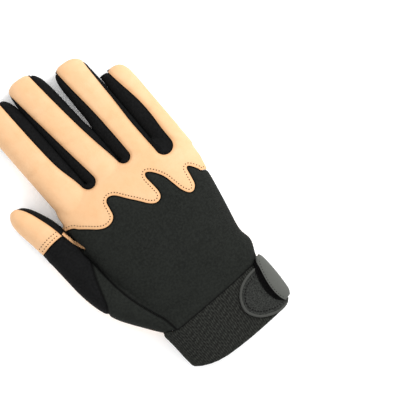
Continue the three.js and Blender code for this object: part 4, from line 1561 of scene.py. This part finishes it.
class GLOVE_OT_stitching(bpy.types.Operator):
    """Add the visible rows of stitches"""
    bl_idname = "glove.stitching"
    bl_label = "Stitching"

    def execute(self, context):
        settings = context.scene.glove_settings
        length, spacing = settings.stitch_length / MM, settings.stitch_spacing / MM
        short = LEATHER_STITCH * length, spacing, LEATHER_THREAD
        knuckle = inset_line(spline(on_hand(KNUCKLE_EDGE), 260), 2.0, False)
        rows = [stitch_row(knuckle, 1, surface_of("sewn_back_leather"), *short)]
        tip = surface_of("sewn_thumb_tip_leather")
        for inset in (2.0, 4.6):
            line = inset_line(thumb_tip_outline()[:20], inset, False)
            rows.append(stitch_row(line, 1, tip, *short))
        brown = thread("brown_thread", colour(0.004, 0.002, 0.001), colour(0.018, 0.009, 0.004))
        finish_piece(stitch_object("leather_stitches", rows), [brown])
        rows = []
        for name, outline in cut_form()["fields"].patches.items():
            patch = surface_of(f"sewn_{name}")
            for inset in STITCH_ROWS:
                line = inset_line(outline, inset, True)
                if np.mean(signed_distance(line, outline)) < 0:
                    line = inset_line(outline, -inset, True)
                closed = np.vstack([line, line[:1]])
                rows.append(stitch_row(closed, -1, patch, length, spacing, PATCH_THREAD))
        edges = {"thumb": (-88, -50, THUMB_CAP_EDGE)}
        for key, finger in FINGERS.items():
            x = finger_middle(finger, CAP_START)
            edges[key] = (x - CAP_REACH, x + CAP_REACH, cap_edge(finger))
        for key in (*FINGERS, "thumb"):
            cap = surface_of(f"sewn_cap_{key}")
            left, right, y = edges[key]
            for inset in STITCH_ROWS:
                line = even_line([(left, y + inset), (right, y + inset)], LINE_STEP)
                rows.append(stitch_row(line, -1, cap, length, spacing, PATCH_THREAD))
        cream = thread("cream_thread", tint("thread_colour", 0.61), tint("thread_colour", 1.0))
        finish_piece(stitch_object("patch_stitches", rows), [cream])
        black = thread("black_thread", colour(0.0008, 0.0008, 0.0008), colour(0.003, 0.003, 0.003))
        line = even_line(tab_outline(4.0), LINE_STEP)
        rows = [stitch_row(line, 1, surface_of("strap_tab"), length, spacing, TAB_THREAD)]
        rim = spline(LIP_ROWS, LIP_LINES)[4:-4, :2] + (1.1, 0.0)
        rows.append(stitch_row(rim, 1, surface_of("strap_lip"), LIP_STITCH * length, spacing, LIP_THREAD))
        finish_piece(stitch_object("tab_stitches", rows), [black])
        return {"FINISHED"}


KEY_LIGHT = dict(place=(1.15, 0.25, 1.05), size=0.8, power=20.0)
CAMERA = dict(place=(0.0499, -0.0222, 3.0), turn=-35.0, lens=384.2)
WORLD_STRENGTH = 1.38


class GLOVE_OT_stage(bpy.types.Operator):
    """Add the floor, the soft lights and the camera above"""
    bl_idname = "glove.stage"
    bl_label = "Stage"

    def execute(self, context):
        bpy.ops.mesh.primitive_plane_add(size=6.0, location=(0, 0, 0))
        floor = context.object
        floor.name = "floor"
        floor.data.materials.append(floor_paper())
        floor.select_set(False)
        world = bpy.data.worlds.new("studio")
        world.use_nodes = True
        sky = world.node_tree.nodes["Background"]
        sky.inputs["Color"].default_value = WHITE
        sky.inputs["Strength"].default_value = WORLD_STRENGTH
        context.scene.world = world
        bpy.ops.object.light_add(type="AREA", location=KEY_LIGHT["place"])
        light = context.object
        light.name = "key_light"
        light.data.size = KEY_LIGHT["size"]
        light.data.energy = KEY_LIGHT["power"]
        light.rotation_euler = (-Vector(KEY_LIGHT["place"])).to_track_quat("-Z", "Y").to_euler()
        light.select_set(False)
        bpy.ops.object.camera_add(location=CAMERA["place"], rotation=(0, 0, math.radians(CAMERA["turn"])))
        camera = context.object
        camera.data.lens = CAMERA["lens"]
        camera.data.clip_end = 20
        camera.select_set(False)
        context.scene.camera = camera
        context.scene.view_settings.view_transform = "Standard"
        return {"FINISHED"}


class GLOVE_PT_panel(bpy.types.Panel):
    bl_label = "Mechanic Glove"
    bl_idname = "GLOVE_PT_panel"
    bl_space_type = "VIEW_3D"
    bl_region_type = "UI"
    bl_category = "Glove"

    def draw(self, context):
        for name in GloveSettings.__annotations__:
            self.layout.prop(context.scene.glove_settings, name)
        for operator in OPERATORS:
            self.layout.operator(operator.bl_idname)


OPERATORS = (
    GLOVE_OT_leather, GLOVE_OT_fabric, GLOVE_OT_reinforcement, GLOVE_OT_cuff, GLOVE_OT_closure,
    GLOVE_OT_stitching, GLOVE_OT_stage,
)
CLASSES = (GloveSettings, *OPERATORS, GLOVE_PT_panel)


def register():
    for cls in CLASSES:
        bpy.utils.register_class(cls)
    bpy.types.Scene.glove_settings = bpy.props.PointerProperty(type=GloveSettings)


def unregister():
    del bpy.types.Scene.glove_settings
    for cls in reversed(CLASSES):
        bpy.utils.unregister_class(cls)


def main():
    register()
    bpy.ops.object.select_all(action="DESELECT")
    bpy.ops.glove.leather()
    bpy.ops.glove.fabric()
    bpy.ops.glove.reinforcement()
    bpy.ops.glove.cuff()
    bpy.ops.glove.closure()
    bpy.ops.glove.stitching()
    bpy.ops.glove.stage()


if __name__ == "__main__":
    main()
